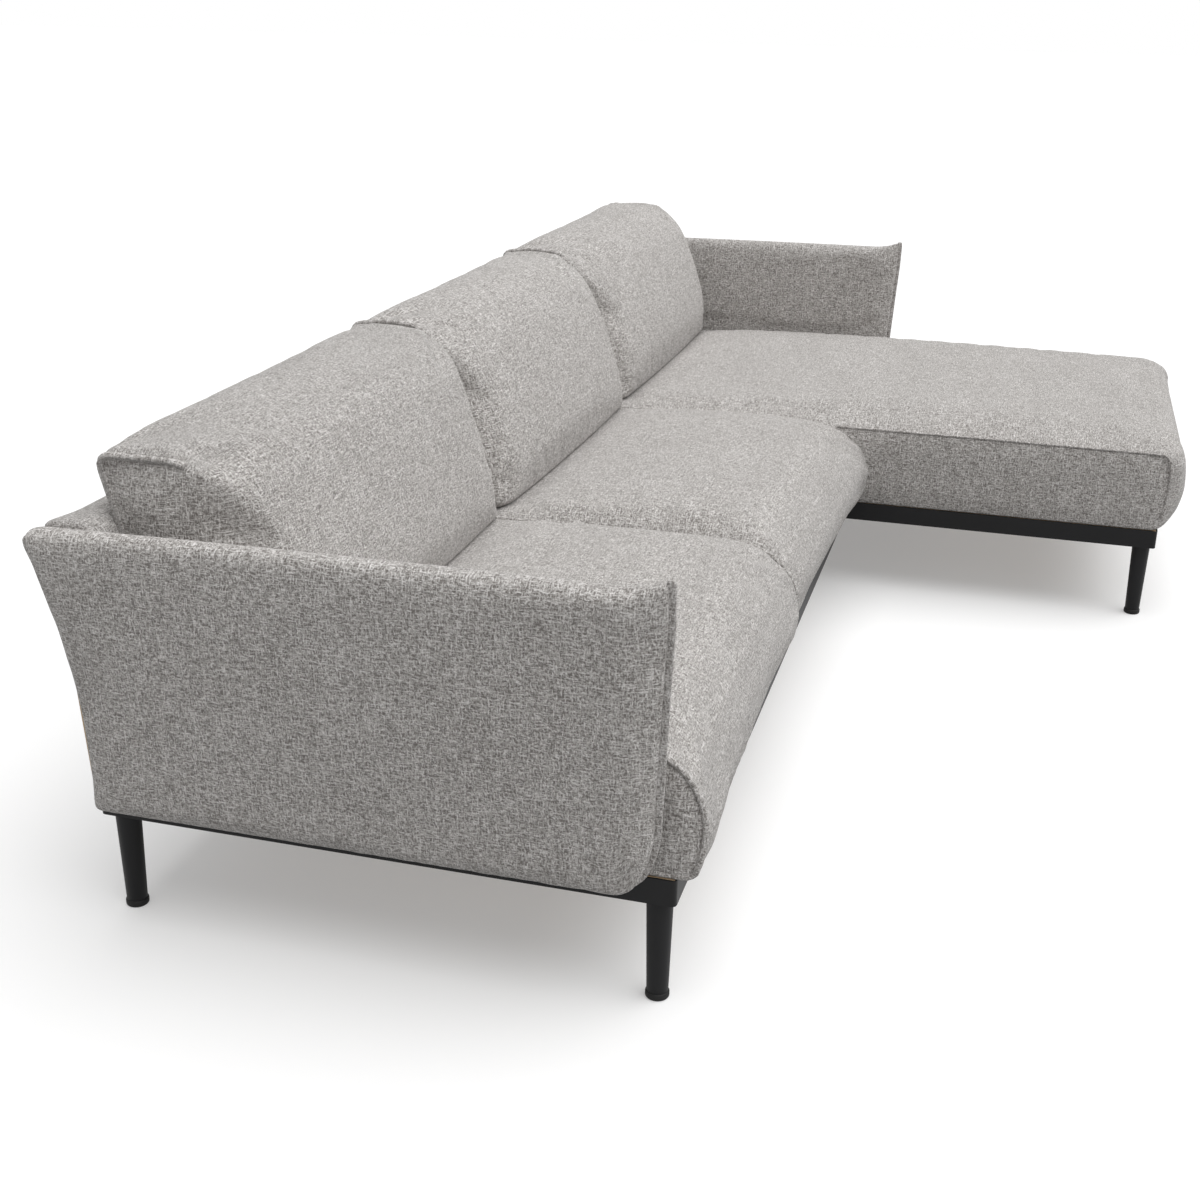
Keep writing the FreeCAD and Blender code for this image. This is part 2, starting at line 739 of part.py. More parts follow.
def back_section(x_of, front_of, rear_of, foot, top, crown):
    """One section through a back: a flat front, a rounded top and a crowned rear face."""
    high = top - arm_round

    def lift(y, z):
        return Vector(x_of(z), y, z)

    crest = ((front_of(high) + rear_of(high)) / 2, high)
    reach = (rear_of(high) - front_of(high)) / 2
    middle = (foot + high) / 2
    return loop(
        lift(front_of(foot), foot),
        lift(front_of(high), high),
        (on_ellipse(crest, reach, arm_round, BEFORE_CREST, lift),),
        on_ellipse(crest, reach, arm_round, CREST, lift),
        (on_ellipse(crest, reach, arm_round, AFTER_CREST, lift),),
        lift(rear_of(high), high),
        (lift(rear_of(middle) + crown, middle),),
        lift(rear_of(foot), foot),
    )


def back_board(x_low, x_high):
    """The plywood board inside a back, which stands on the deck."""
    thick = size("back_board_thickness")
    height = back_height - rail_top - arm_thickness
    face = back_foot_y - size("back_board_inset") - thick
    board = Part.makeBox(x_high - x_low, thick, height)
    uprights = [edge for edge in board.Edges if is_near(edge.BoundBox.YLength, thick)]
    board = board.makeFillet(arm_thickness / 2, uprights)
    slope = (half_depth - back_foot_y) / (back_height - rail_top)
    tilt = math.degrees(math.atan(slope))
    board.Placement = Placement(Vector(x_low, face, rail_top), Rotation(Vector(1, 0, 0), -tilt))
    drop = thick * math.sin(math.radians(tilt))
    board.translate(Vector(0, 0, drop + soft_gap))
    return board


def back(name, x_low_of, x_high_of):
    """A back: a padded wedge round its board, from the rail to the height of the arms."""
    crown = size("back_crown")

    def rear_of(z):
        return back_rear(z) - crown

    foot = rail_top + soft_gap
    wires = [back_section(x_of, back_front, rear_of, foot, back_height, crown)
             for x_of in (x_low_of, x_high_of)]
    wedge = Part.makeLoft(wires, True, True)
    inset = size("back_board_inset")
    ends = (x_low_of(rail_top) + inset, x_high_of(rail_top) - inset)
    board = back_board(*ends)
    soft(name + "_back_board", board)
    soft(name + "_back", without(wedge.cut(board), back_brackets))


def beside_arm(side):
    """X of the face that meets an arm, at a height."""
    return lambda z: side * (arm_inner(z) - soft_gap)


def at_joint(side):
    """X of the face beside the joint of the two modules."""
    return lambda z: joint_x + side * soft_gap


back("sofa", beside_arm(-1), at_joint(-1))
back("chaise", at_joint(1), beside_arm(1))

# Seat and chaise cushions

seat_foot = rail_top + soft_gap
seat_back = back_front(rail_top) - soft_gap
cushion_foot_thickness = size("back_cushion_foot_thickness")
bearing_front = back_front(seat_height) - soft_gap - cushion_foot_thickness - size("bearing_play")


def seat_section(x, front, crown):
    """A section through a seat cushion: flat bearing, crowned top and a bolster front."""
    top = seat_height
    depth = size("bolster_depth")
    waist = seat_foot + size("bolster_waist") * (top - seat_foot)

    def lift(y, z):
        return Vector(x, y, z)

    shoulder = front + depth
    toe = front + size("bolster_toe")
    return loop(
        lift(seat_back, seat_foot),
        lift(seat_back, top),
        lift(bearing_front, top),
        (lift((bearing_front + shoulder) / 2, top + crown),),
        lift(shoulder, top),
        (on_ellipse((shoulder, waist), -depth, top - waist, AFTER_CREST, lift),),
        lift(front, waist),
        (on_ellipse((toe, waist), front - toe, seat_foot - waist, AFTER_CREST, lift),),
        lift(toe, seat_foot),
    )


def draw_in(shape, x_low, x_high, draw):
    """Pull the two X sides of a cushion in between their corners by a shallow curve."""
    box = shape.BoundBox
    radius = (box.YLength ** 2 / 4 + draw ** 2) / (2 * draw)
    middle = (box.YMin + box.YMax) / 2
    for edge, away in ((x_low, -1), (x_high, 1)):
        centre = Vector(edge + away * (radius - draw), middle, box.ZMin - draw)
        shape = shape.cut(Part.makeCylinder(radius, box.ZLength + 2 * draw, centre))
    return shape


def seat(name, x_low, x_high, front, bulge):
    """A seat cushion that crowns to its middle and is drawn in at both sides."""
    draw = size("side_draw")
    wires = []
    for x, full in crown_stations(x_low, x_high):
        wires.append(seat_section(x, front + bulge * (1 - full), seat_crown * full))
    cushion = draw_in(Part.makeLoft(wires, True, True), x_low, x_high, draw)
    soft(name, without(cushion, arm_brackets))


seat_crown = size("seat_crown")
seat_bulge = size("seat_front_bulge")
seat_front = sofa_front - size("seat_overhang") - seat_bulge
seat("near_seat_cushion", -seat_side, seat_split - soft_gap, seat_front, seat_bulge)
seat("middle_seat_cushion", seat_split + soft_gap, joint_x - soft_gap, seat_front, seat_bulge)
seat("chaise_cushion", joint_x + soft_gap, seat_side, -half_depth, size("chaise_front_bulge"))

# Loose back cushions


def cushion_section(x, crown, bow):
    """A section through a back cushion: a wedge that leans on the back, with a full face."""
    foot = seat_height + soft_gap
    edge_top = size("back_cushion_top")
    top = edge_top + crown
    thick_top = size("back_cushion_top_thickness")
    round_front = size("back_cushion_round")
    heel = size("back_cushion_heel")

    def rear(z):
        return back_front(z) - soft_gap

    def lift(y, z):
        return Vector(x, y, z)

    nip = QUARTER_MIDDLE * heel
    brow_nip = QUARTER_MIDDLE * round_front
    rear_high = top - heel
    face_high = top - round_front
    face_y = rear(edge_top - heel) - thick_top - bow
    brow = face_y + round_front
    face_foot = rear(foot) - cushion_foot_thickness - bow
    belly_top = edge_top - round_front
    middle = (foot + belly_top) / 2
    return loop(
        lift(rear(foot), foot),
        lift(rear(rear_high), rear_high),
        (lift(rear(rear_high) - nip, top - nip),),
        lift(rear(rear_high) - heel, top),
        (lift((rear(rear_high) - heel + brow) / 2, top + size("back_cushion_top_bow")),),
        lift(brow, top),
        (lift(face_y + brow_nip, top - brow_nip),),
        lift(face_y, face_high),
        lift(face_y, belly_top),
        (lift((face_y + face_foot) / 2 - size("back_cushion_belly"), middle),),
        lift(face_foot, foot + heel),
        (lift(face_foot + nip, foot + nip),),
        lift(face_foot + heel, foot),
    )


def back_cushion(name, x_low, x_high):
    """A loose wedge cushion on the seat against the back."""
    draw = size("side_draw")
    crown = size("back_cushion_crown")
    bow = size("back_cushion_bow")
    wires = [cushion_section(x, crown * full, bow * full)
             for x, full in crown_stations(x_low, x_high)]
    soft(name, draw_in(Part.makeLoft(wires, True, True), x_low, x_high, draw))


play = size("cushion_play")
arm_play = size("arm_play")
back_cushion("near_back_cushion", -seat_side + arm_play, seat_split - play)
back_cushion("middle_back_cushion", seat_split + play, joint_x - play)
back_cushion("chaise_back_cushion", joint_x + play, seat_side - arm_play)

# Check everything, then write one file for each sub-part

doc.recompute()
for thing in doc.Objects:
    if "Invalid" in thing.State or "Error" in thing.State:
        raise RuntimeError(f"{thing.Label} failed: {thing.State}")
for piece in SUB_PARTS:
    if piece.Shape.isNull() or not piece.Shape.isValid():
        raise RuntimeError(f"{piece.Label} has no valid shape")
os.makedirs("parts", exist_ok=True)
for piece in SUB_PARTS:
    piece.Shape.exportStep(f"parts/{piece.Label}.step")
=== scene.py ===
import json
import logging
import math
from dataclasses import dataclass
from enum import Enum
from typing import Any, Callable, Optional, Sequence, Union

import bpy
import numpy as np
from mathutils import Matrix, Vector


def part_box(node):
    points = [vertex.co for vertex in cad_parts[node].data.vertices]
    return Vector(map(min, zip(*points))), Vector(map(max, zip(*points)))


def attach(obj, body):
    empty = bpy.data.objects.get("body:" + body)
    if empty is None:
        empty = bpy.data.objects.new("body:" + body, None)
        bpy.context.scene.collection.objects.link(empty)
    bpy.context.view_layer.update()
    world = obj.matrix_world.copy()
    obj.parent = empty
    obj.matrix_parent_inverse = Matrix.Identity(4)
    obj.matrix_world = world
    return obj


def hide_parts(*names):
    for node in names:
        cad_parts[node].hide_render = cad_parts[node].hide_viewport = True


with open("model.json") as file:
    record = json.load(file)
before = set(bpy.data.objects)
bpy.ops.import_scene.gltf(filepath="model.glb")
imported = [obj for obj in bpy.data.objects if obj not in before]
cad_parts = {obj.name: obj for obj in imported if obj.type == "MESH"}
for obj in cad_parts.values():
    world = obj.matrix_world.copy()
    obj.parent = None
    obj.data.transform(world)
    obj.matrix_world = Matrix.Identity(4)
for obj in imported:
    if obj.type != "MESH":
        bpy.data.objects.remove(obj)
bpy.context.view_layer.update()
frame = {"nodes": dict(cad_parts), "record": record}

LOG = logging.getLogger("sofa")

WEAVE_MAP = "weave"
SOFA_BODY = "sofa"
MM = 0.001
# How many frames the cloth is blown up for
SIM_FRAMES = 16
# Y of the rail's rear face, where the arms end
BACK_RAIL_FACE = 0.777
# The height of the back that the cushions rest on, and its slope
REST_HEIGHT = 0.64
BACK_SLOPE = math.tan(math.radians(15.0))
# The height where the rear of the back and arms begins to flare, and over what height it does
FLARE_FROM = 0.33
FLARE_HEIGHT = 0.31
# The step between the rings of a welt, and how many points a ring has
CORD_STEP = 7 * MM
CORD_SIDES = 8
# A share of the way round or along that counts as its very end
AT_END = 0.999999


class Way(Enum):
    """The axis that a cloth panel wraps round."""

    ROUND_X = 0
    ROUND_Y = 1


# Shader graphs


class Term:
    """A number that varies over a surface, on which Python's operators add Math nodes."""

    def __init__(self, graph: "Graph", socket: bpy.types.NodeSocket) -> None:
        """Wrap one output socket of a graph."""
        self.graph = graph
        self.socket = socket

    def math(self, operation: str, *others: Union["Term", float]) -> "Term":
        """Add a Math node.

        Args:
            operation: the node's operation.
            others: its second and third values.

        Returns:
            The node's result.
        """
        sockets = {index: value for index, value in enumerate((self, *others))}
        node = self.graph.node("ShaderNodeMath", {"operation": operation}, sockets)
        return self.graph.term(node)

    def __add__(self, other: Union["Term", float]) -> "Term":
        """The sum."""
        return self.math("ADD", other)

    def __radd__(self, other: float) -> "Term":
        """The sum with a number on the left."""
        return self + other

    def __sub__(self, other: Union["Term", float]) -> "Term":
        """The difference."""
        return self.math("SUBTRACT", other)

    def __mul__(self, other: Union["Term", float]) -> "Term":
        """The product."""
        return self.math("MULTIPLY", other)

    def clipped(self) -> "Term":
        """The value kept between 0 and 1."""
        return self.math("MAXIMUM", 0.0).math("MINIMUM", 1.0)


class Graph:
    """The node tree of one material or of the world."""

    def __init__(self, tree: bpy.types.NodeTree) -> None:
        """Take over a tree and clear it."""
        self.tree = tree
        tree.nodes.clear()

    def node(
        self,
        kind: str,
        settings: Optional[dict[str, Any]] = None,
        sockets: Optional[dict[Union[int, str], Any]] = None,
    ) -> bpy.types.Node:
        """Add a node.

        Args:
            kind: the node's type.
            settings: its properties, set before its sockets. A key "stops" holds the
                places and colours of a ramp.
            sockets: values or links for its input sockets, by name or number.

        Returns:
            The new node.
        """
        node = self.tree.nodes.new(kind)
        for name, value in (settings or {}).items():
            if name == "stops":
                self._set_stops(node.color_ramp, value)
            else:
                setattr(node, name, value)
        for key, value in (sockets or {}).items():
            self.feed(node, key, value)
        return node

    def feed(self, node: bpy.types.Node, key: Union[int, str], value: Any) -> None:
        """Give an input socket a link or a constant."""
        if isinstance(value, Term):
            value = value.socket
        if isinstance(value, bpy.types.NodeSocket):
            self.tree.links.new(value, node.inputs[key])
        else:
            node.inputs[key].default_value = value

    @staticmethod
    def _set_stops(ramp: bpy.types.ColorRamp, stops: Sequence[tuple[float, Sequence[float]]]) -> None:
        """Give a ramp its stops."""
        while len(ramp.elements) < len(stops):
            ramp.elements.new(1.0)
        for element, (place, colour) in zip(ramp.elements, stops):
            element.position = place
            element.color = (*colour[:3], 1.0)

    def term(self, node: bpy.types.Node, output: Union[int, str] = 0) -> Term:
        """Wrap an output of a node for arithmetic."""
        return Term(self, node.outputs[output])

    def noise(self, place: Any, detail: float = 2.0, roughness: float = 0.5, scale: float = 1.0) -> Term:
        """A noise over a place.

        Args:
            place: the vector that it reads.
            detail: how many octaves it has.
            roughness: how strong the finer octaves are.
            scale: how many cells fit in a unit.

        Returns:
            The noise, about 0.5 on average.
        """
        node = self.node(
            "ShaderNodeTexNoise",
            {"noise_dimensions": "3D"},
            {"Vector": place, "Scale": scale, "Detail": detail, "Roughness": roughness},
        )
        return self.term(node, "Fac")

    def mixed(self, share: Term, first: Sequence[float], second: Sequence[float]) -> bpy.types.NodeSocket:
        """The socket of a colour between two colours, by the share of the second one."""
        colours = {0: share, 6: (*first, 1.0), 7: (*second, 1.0)}
        return self.node("ShaderNodeMix", {"data_type": "RGBA"}, colours).outputs[2]

    def relief(self, height: Term, depth: float, strength: float) -> bpy.types.NodeSocket:
        """The normal of a surface that a height raises."""
        sockets = {"Strength": strength, "Distance": depth, "Height": height}
        return self.node("ShaderNodeBump", sockets=sockets).outputs[0]

    def seen(self) -> Term:
        """1 for the rays that show a surface directly, in a gloss or through glass."""
        path = self.node("ShaderNodeLightPath")
        seen = self.term(path, "Is Camera Ray").math("MAXIMUM", self.term(path, "Is Glossy Ray"))
        return seen.math("MAXIMUM", self.term(path, "Is Transmission Ray"))


@dataclass(frozen=True)
class Finish:
    """What a surface is made of. A subclass adds what varies over it."""

    name: str

    def material(self) -> bpy.types.Material:
        """Build the material."""
        material = bpy.data.materials.new(self.name)
        material.use_nodes = True
        graph = Graph(material.node_tree)
        shader = graph.node("ShaderNodeBsdfPrincipled")
        self.dress(graph, shader)
        graph.node("ShaderNodeOutputMaterial", sockets={"Surface": shader.outputs[0]})
        return material

    def dress(self, graph: Graph, shader: bpy.types.Node) -> None:
        """Add the finish's own nodes.

        Args:
            graph: the material's graph.
            shader: its surface shader.
        """
        raise NotImplementedError


@dataclass(frozen=True)
class Weave(Finish):
    """A slubby plain weave of light and darker yarns, laid along the piece's weave map."""

    dark: tuple[float, float, float] = (0.200, 0.184, 0.171)
    body: tuple[float, float, float] = (0.482, 0.460, 0.441)
    light: tuple[float, float, float] = (0.800, 0.775, 0.760)
    yarn: float = 2.2 * MM
    slub: float = 7 * MM
    thick_yarn: float = 1 / 0.85
    streak: float = 24 * MM
    grain: float = 1 / 0.8
    wander: float = 9 * MM
    sway: float = 1.1 * MM
    drift: float = 160 * MM
    shifts: tuple[float, float, float, float] = (3.1, 17.7, 31.3, 43.9)
    shares: tuple[float, float, float] = (0.46, 0.26, 0.28)
    mean: float = 0.543
    contrast: float = 6.6
    cloudiness: float = 0.15
    relief: float = 6.0 * MM
    relief_strength: float = 0.9
    roughness: float = 0.92
    specular: float = 0.2
    sheen: float = 0.25
    sheen_roughness: float = 0.5

    def yarns(self, graph: Graph, place: Any, across: float, along: float, shift: float) -> Term:
        """The light and dark of the yarns that run one way.

        Args:
            graph: the material's graph.
            place: the weave map.
            across: yarns per metre along the first coordinate.
            along: yarns per metre along the second coordinate.
            shift: a place in the third coordinate that keeps two sets apart.

        Returns:
            A value that is high on a light, thick yarn.
        """
        stretched = graph.node(
            "ShaderNodeVectorMath",
            {"operation": "MULTIPLY_ADD"},
            {0: place, 1: (across, along, 1.0), 2: (shift, shift, shift)},
        )
        return graph.noise(stretched.outputs[0], detail=2.0, roughness=0.55)

    def dress(self, graph: Graph, shader: bpy.types.Node) -> None:
        """Cross two sets of yarns, tint them and raise them."""
        flat = graph.node("ShaderNodeUVMap", {"uv_map": WEAVE_MAP}).outputs[0]
        bend = graph.node("ShaderNodeTexNoise", sockets={"Vector": flat, "Scale": 1 / self.wander})
        centred = graph.node(
            "ShaderNodeVectorMath",
            {"operation": "SUBTRACT"},
            {0: bend.outputs["Color"], 1: (0.5, 0.5, 0.5)},
        )
        swayed = graph.node(
            "ShaderNodeVectorMath",
            {"operation": "MULTIPLY_ADD"},
            {0: centred.outputs[0], 1: (2 * self.sway, 2 * self.sway, 0.0), 2: flat},
        )
        place = swayed.outputs[0]
        first, second, third, fourth = self.shifts
        fine, long = 1 / self.yarn, 1 / self.slub
        warp = self.yarns(graph, place, fine, long, first)
        yarn = warp.math("MAXIMUM", self.yarns(graph, place, long, fine, second))
        thick, streak = fine / self.thick_yarn, 1 / self.streak
        thick_warp = self.yarns(graph, place, thick, streak, third)
        slubs = thick_warp.math("MAXIMUM", self.yarns(graph, place, streak, thick, fourth))
        grain = graph.noise(place, detail=3.0, roughness=0.7, scale=fine / self.grain)
        yarn_share, slub_share, grain_share = self.shares
        height = yarn * yarn_share + slubs * slub_share + grain * grain_share
        drift = graph.noise(flat, detail=2.0, scale=1 / self.drift)
        tone = (height - self.mean) * self.contrast + 0.5 + (drift - 0.5) * self.cloudiness
        ramp = graph.node(
            "ShaderNodeValToRGB",
            {"stops": ((0.0, self.dark), (0.5, self.body), (1.0, self.light))},
            {"Fac": tone.clipped()},
        )
        shader.inputs["Roughness"].default_value = self.roughness
        shader.inputs["Sheen Weight"].default_value = self.sheen
        shader.inputs["Sheen Roughness"].default_value = self.sheen_roughness
        shader.inputs["Specular IOR Level"].default_value = self.specular
        graph.feed(shader, "Base Color", ramp.outputs[0])
        graph.feed(shader, "Normal", graph.relief(height, self.relief, self.relief_strength))


@dataclass(frozen=True)
class Coated(Finish):
    """A painted, moulded or plated surface with a fine, even texture."""

    colour: tuple[float, float, float] = (0.006, 0.006, 0.0065)
    worn: tuple[float, float, float] = (0.012, 0.012, 0.013)
    roughness: float = 0.5
    specular: float = 0.2
    metallic: float = 0.0
    gloss_range: float = 0.16
    cloud: float = 1 / 9.0
    wear: float = 1.6
    least_wear: float = 0.35
    grain: float = 1.2 * MM
    relief: float = 0.05 * MM
    relief_strength: float = 0.5

    def dress(self, graph: Graph, shader: bpy.types.Node) -> None:
        """Vary the colour, the gloss and the height a little."""
        place = graph.node("ShaderNodeTexCoord").outputs["Object"]
        grain = graph.noise(place, detail=2.0, scale=1 / self.grain)
        cloud = graph.noise(place, detail=3.0, scale=1 / self.cloud)
        share = ((cloud - 0.5) * self.wear + self.least_wear).clipped()
        shader.inputs["Metallic"].default_value = self.metallic
        shader.inputs["Specular IOR Level"].default_value = self.specular
        graph.feed(shader, "Base Color", graph.mixed(share, self.colour, self.worn))
        graph.feed(shader, "Roughness", (cloud - 0.5) * self.gloss_range + self.roughness)
        graph.feed(shader, "Normal", graph.relief(grain, self.relief, self.relief_strength))


@dataclass(frozen=True)
class Plywood(Finish):
    """Raw birch plywood, its grain along X."""

    pale: tuple[float, float, float] = (0.66, 0.50, 0.33)
    dark: tuple[float, float, float] = (0.50, 0.35, 0.21)
    grain: float = 6 * MM
    grain_length: float = 75 * MM
    roughness: float = 0.7
    relief: float = 0.2 * MM
    relief_strength: float = 0.3

    def dress(self, graph: Graph, shader: bpy.types.Node) -> None:
        """Stretch a noise along the grain."""
        place = graph.node("ShaderNodeTexCoord").outputs["Object"]
        stretched = graph.node(
            "ShaderNodeVectorMath",
            {"operation": "MULTIPLY"},
            {0: place, 1: (1 / self.grain_length, 1 / self.grain, 1 / self.grain)},
        )
        grain = graph.noise(stretched.outputs[0], detail=4.0, roughness=0.6)
        shader.inputs["Roughness"].default_value = self.roughness
        graph.feed(shader, "Base Color", graph.mixed(grain, self.pale, self.dark))
        graph.feed(shader, "Normal", graph.relief(grain, self.relief, self.relief_strength))


# Making and finishing pieces


def deselect() -> None:
    """Leave nothing selected, in object mode."""
    if bpy.context.mode != "OBJECT":
        bpy.ops.object.mode_set(mode="OBJECT")
    bpy.ops.object.select_all(action="DESELECT")


def activate(piece: bpy.types.Object) -> None:
    """Select one object alone and make it active."""
    deselect()
    piece.select_set(True)
    bpy.context.view_layer.objects.active = piece


def coordinates(piece: bpy.types.Object) -> np.ndarray:
    """The places of an object's vertices, one row each."""
    flat = np.empty(len(piece.data.vertices) * 3)
    piece.data.vertices.foreach_get("co", flat)
    return flat.reshape(-1, 3)


def move_to(piece: bpy.types.Object, places: np.ndarray) -> None:
    """Put an object's vertices at new places."""
    piece.data.vertices.foreach_set("co", np.asarray(places, dtype=np.float64).ravel())
    piece.data.update()


def edit_faces(piece: bpy.types.Object, operator: Callable[..., Any], **options: Any) -> None:
    """Run an edit-mode operator on all of an object's faces."""
    activate(piece)
    bpy.ops.object.mode_set(mode="EDIT")
    bpy.ops.mesh.select_all(action="SELECT")
    operator(**options)
    bpy.ops.object.mode_set(mode="OBJECT")


def pick_edges(piece: bpy.types.Object, wanted: Callable[[Vector, Vector], bool]) -> None:
    """Select the edges whose two ends answer a test, and leave the object in edit mode.

    Args:
        piece: the object.
        wanted: says whether the edge between two places is picked.
    """
    activate(piece)
    bpy.ops.object.mode_set(mode="EDIT")
    bpy.ops.mesh.select_all(action="DESELECT")
    bpy.ops.object.mode_set(mode="OBJECT")
    bpy.context.tool_settings.mesh_select_mode = (False, True, False)
    mesh = piece.data
    for edge in mesh.edges:
        one, other = (mesh.vertices[index].co for index in edge.vertices)
        edge.select = wanted(one, other)
    bpy.ops.object.mode_set(mode="EDIT")


def apply_modifiers(piece: bpy.types.Object) -> None:
    """Apply every modifier of an object in turn."""
    activate(piece)
    for modifier in list(piece.modifiers):
        bpy.ops.object.modifier_apply(modifier=modifier.name)


def spread(unit: np.ndarray, low: float, high: float) -> np.ndarray:
    """Carry -1 to 1 over to a range of lengths."""
    return low + (high - low) * (unit + 1) / 2


def roundover(distance: np.ndarray, reach: float) -> np.ndarray:
    """The rise of a quarter round, from 0 at an edge to 1 at its reach."""
    inward = np.clip(distance / reach, 0, 1)
    return np.sqrt(1 - (1 - inward) ** 2)


def ease(
    first: np.ndarray, second: np.ndarray, reach_first: float, reach_second: float
) -> tuple[np.ndarray, np.ndarray]:
    """Round the edge between two faces of a box.

    Args:
        first: the distances of points from one face.
        second: their distances from the other face.
        reach_first: how far from the first face the rounding begins.
        reach_second: how far from the second face the rounding begins.

    Returns:
        The new distances from both faces.
    """
    p = 1 - first / reach_first
    q = 1 - second / reach_second
    inside = (p > 0) & (q > 0)
    longest = np.maximum(p, q)
    share = np.where(inside, longest / np.maximum(np.hypot(p, q), 1e-9), 1.0)
    moved_first = np.where(inside, reach_first * (1 - p * share), first)
    moved_second = np.where(inside, reach_second * (1 - q * share), second)
    return moved_first, moved_second


class Pad:
    """A closed box of quads that a padded piece is shaped from."""

    def __init__(self, name: str, spans: tuple[int, int, int], way: Way) -> None:
        """Make the box, 2 units a side.

        Args:
            name: the piece's name.
            spans: how many quads it has along X, Y and Z.
            way: the axis that its cloth wraps round.
        """
        deselect()
        bpy.ops.mesh.primitive_cube_add(size=2)
        self.piece = bpy.context.object
        self.piece.name = name
        self.piece.data.name = name
        self.way = way
        for axis, count in enumerate(spans):
            self._divide(axis, count)
        self.unit = np.round(coordinates(self.piece), 6)

    def _divide(self, axis: int, count: int) -> None:
        """Cut the box into equal spans along one axis."""
        pick_edges(self.piece, lambda one, other: abs(one[axis] - other[axis]) > 1.5)
        if count > 1:
            bpy.ops.mesh.subdivide(number_cuts=count - 1)
        bpy.ops.object.mode_set(mode="OBJECT")

    @property
    def _round(self) -> tuple[int, int]:
        """The two axes across the one that the cloth wraps round."""
        return (1, 2) if self.way is Way.ROUND_X else (0, 2)

    def ring(self) -> np.ndarray:
        """Where each vertex lies on the way round, 0 to 8 from the low corner up."""
        first, second = (self.unit[:, axis] for axis in self._round)
        place = np.full(len(first), np.nan)
        place[second == -1] = 6 + (first[second == -1] + 1)
        place[first == -1] = 4 + (1 - second[first == -1])
        place[second == 1] = 2 + (1 - first[second == 1])
        place[first == 1] = second[first == 1] + 1
        return place

    def lay_weave(self, turn: float = 0.0) -> None:
        """Write the weave map, in metres, from the places that the vertices have now.

        Args:
            turn: a shift that keeps one piece's pattern apart from another's.
        """
        mesh = self.piece.data
        places = coordinates(self.piece)
        along = self.unit[:, self.way.value]
        ring = self.ring()
        middle = np.abs(along) == np.abs(along).min()
        girth = np.where(middle & ~np.isnan(ring))[0]
        girth = girth[np.argsort(ring[girth])]
        girth = girth[np.concatenate(([True], np.diff(ring[girth]) > 1e-9))]
        closed = np.vstack([places[girth], places[girth[0]]])
        lengths = np.concatenate(([0.0], np.cumsum(np.linalg.norm(np.diff(closed, axis=0), axis=1))))
        stops = np.append(ring[girth], 8.0)
        layer = mesh.uv_layers.new(name=WEAVE_MAP)
        corners = np.empty(len(mesh.loops), dtype=np.int64)
        mesh.loops.foreach_get("vertex_index", corners)
        face_of = np.repeat(np.arange(len(mesh.polygons)), [p.loop_total for p in mesh.polygons])
        sums = np.zeros((len(mesh.polygons), 3))
        np.add.at(sums, face_of, self.unit[corners])
        centres = sums / np.bincount(face_of)[:, None]
        on_cap = np.abs(centres[:, self.way.value]) > AT_END
        corner_ring = ring[corners]
        low = centres[:, 2] < -AT_END
        corner_ring = np.where(low[face_of] & (corner_ring < 1), 8.0, corner_ring)
        uv = np.empty((len(corners), 2))
        band = ~on_cap[face_of]
        uv[band, 0] = places[corners[band], self.way.value]
        uv[band, 1] = np.interp(corner_ring[band], stops, lengths)
        cap_axis = self._round[0]
        uv[~band, 0] = places[corners[~band], cap_axis]
        uv[~band, 1] = places[corners[~band], 2]
        layer.data.foreach_set("uv", (uv + turn).ravel())

    def seam(self, end: int) -> np.ndarray:
        """The vertices of the ring round one end, in order.

        Args:
            end: -1 for the low end and 1 for the high one.
        """
        ring = self.ring()
        picked = np.where((self.unit[:, self.way.value] == end) & ~np.isnan(ring))[0]
        return picked[np.argsort(ring[picked])]

    def inflate(self, pinned: np.ndarray, pressure: float, cap: float) -> None:
        """Blow the cloth up between its seams and apply the result.

        Args:
            pinned: a mask of the vertices that stay where they are.
            pressure: the air pressure inside.
            cap: the furthest that a point may move.
        """
        piece = self.piece
        before = coordinates(piece)
        group = piece.vertex_groups.new(name="seams")
        group.add([int(index) for index in np.where(pinned)[0]], 1.0, "REPLACE")
        cloth = piece.modifiers.new("cloth", "CLOTH")
        settings = cloth.settings
        settings.quality = 5
        settings.mass = 0.3
        settings.tension_stiffness = 12
        settings.compression_stiffness = 12
        settings.shear_stiffness = 4
        settings.bending_stiffness = 0.6
        settings.use_pressure = True
        settings.uniform_pressure_force = pressure
        settings.shrink_min = -0.012
        settings.vertex_group_mass = group.name
        settings.effector_weights.gravity = 0
        cloth.collision_settings.use_collision = False
        cloth.point_cache.frame_start = 1
        cloth.point_cache.frame_end = SIM_FRAMES
        for count in range(1, SIM_FRAMES + 1):
            bpy.context.scene.frame_set(count)
        apply_modifiers(piece)
        bpy.context.scene.frame_set(1)
        moved = coordinates(piece) - before
        lengths = np.linalg.norm(moved, axis=1, keepdims=True)
        moved *= np.minimum(1.0, cap / np.maximum(lengths, 1e-9))
        move_to(piece, before + moved)
        piece.vertex_groups.clear()

    def smooth(self) -> None:
        """Round the quads off once and shade them smoothly."""
        rounder = self.piece.modifiers.new("smooth", "SUBSURF")
        rounder.levels = rounder.render_levels = 1
        apply_modifiers(self.piece)
        bpy.ops.object.shade_smooth()

    def finish(self, finish: bpy.types.Material, body: str, node: str, fill: float) -> None:
        """Smooth the piece, dress it and tie it to the frame.

        Args:
            finish: its material.
            body: the body that it rides on.
            node: the solid that it stands for.
            fill: how tightly it is stuffed; not used.
        """
        self.smooth()
        piece = self.piece
        piece.data.materials.append(finish)
        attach(piece, body)
        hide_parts(node)
        LOG.info("padded %s: %d faces", piece.name, len(piece.data.polygons))


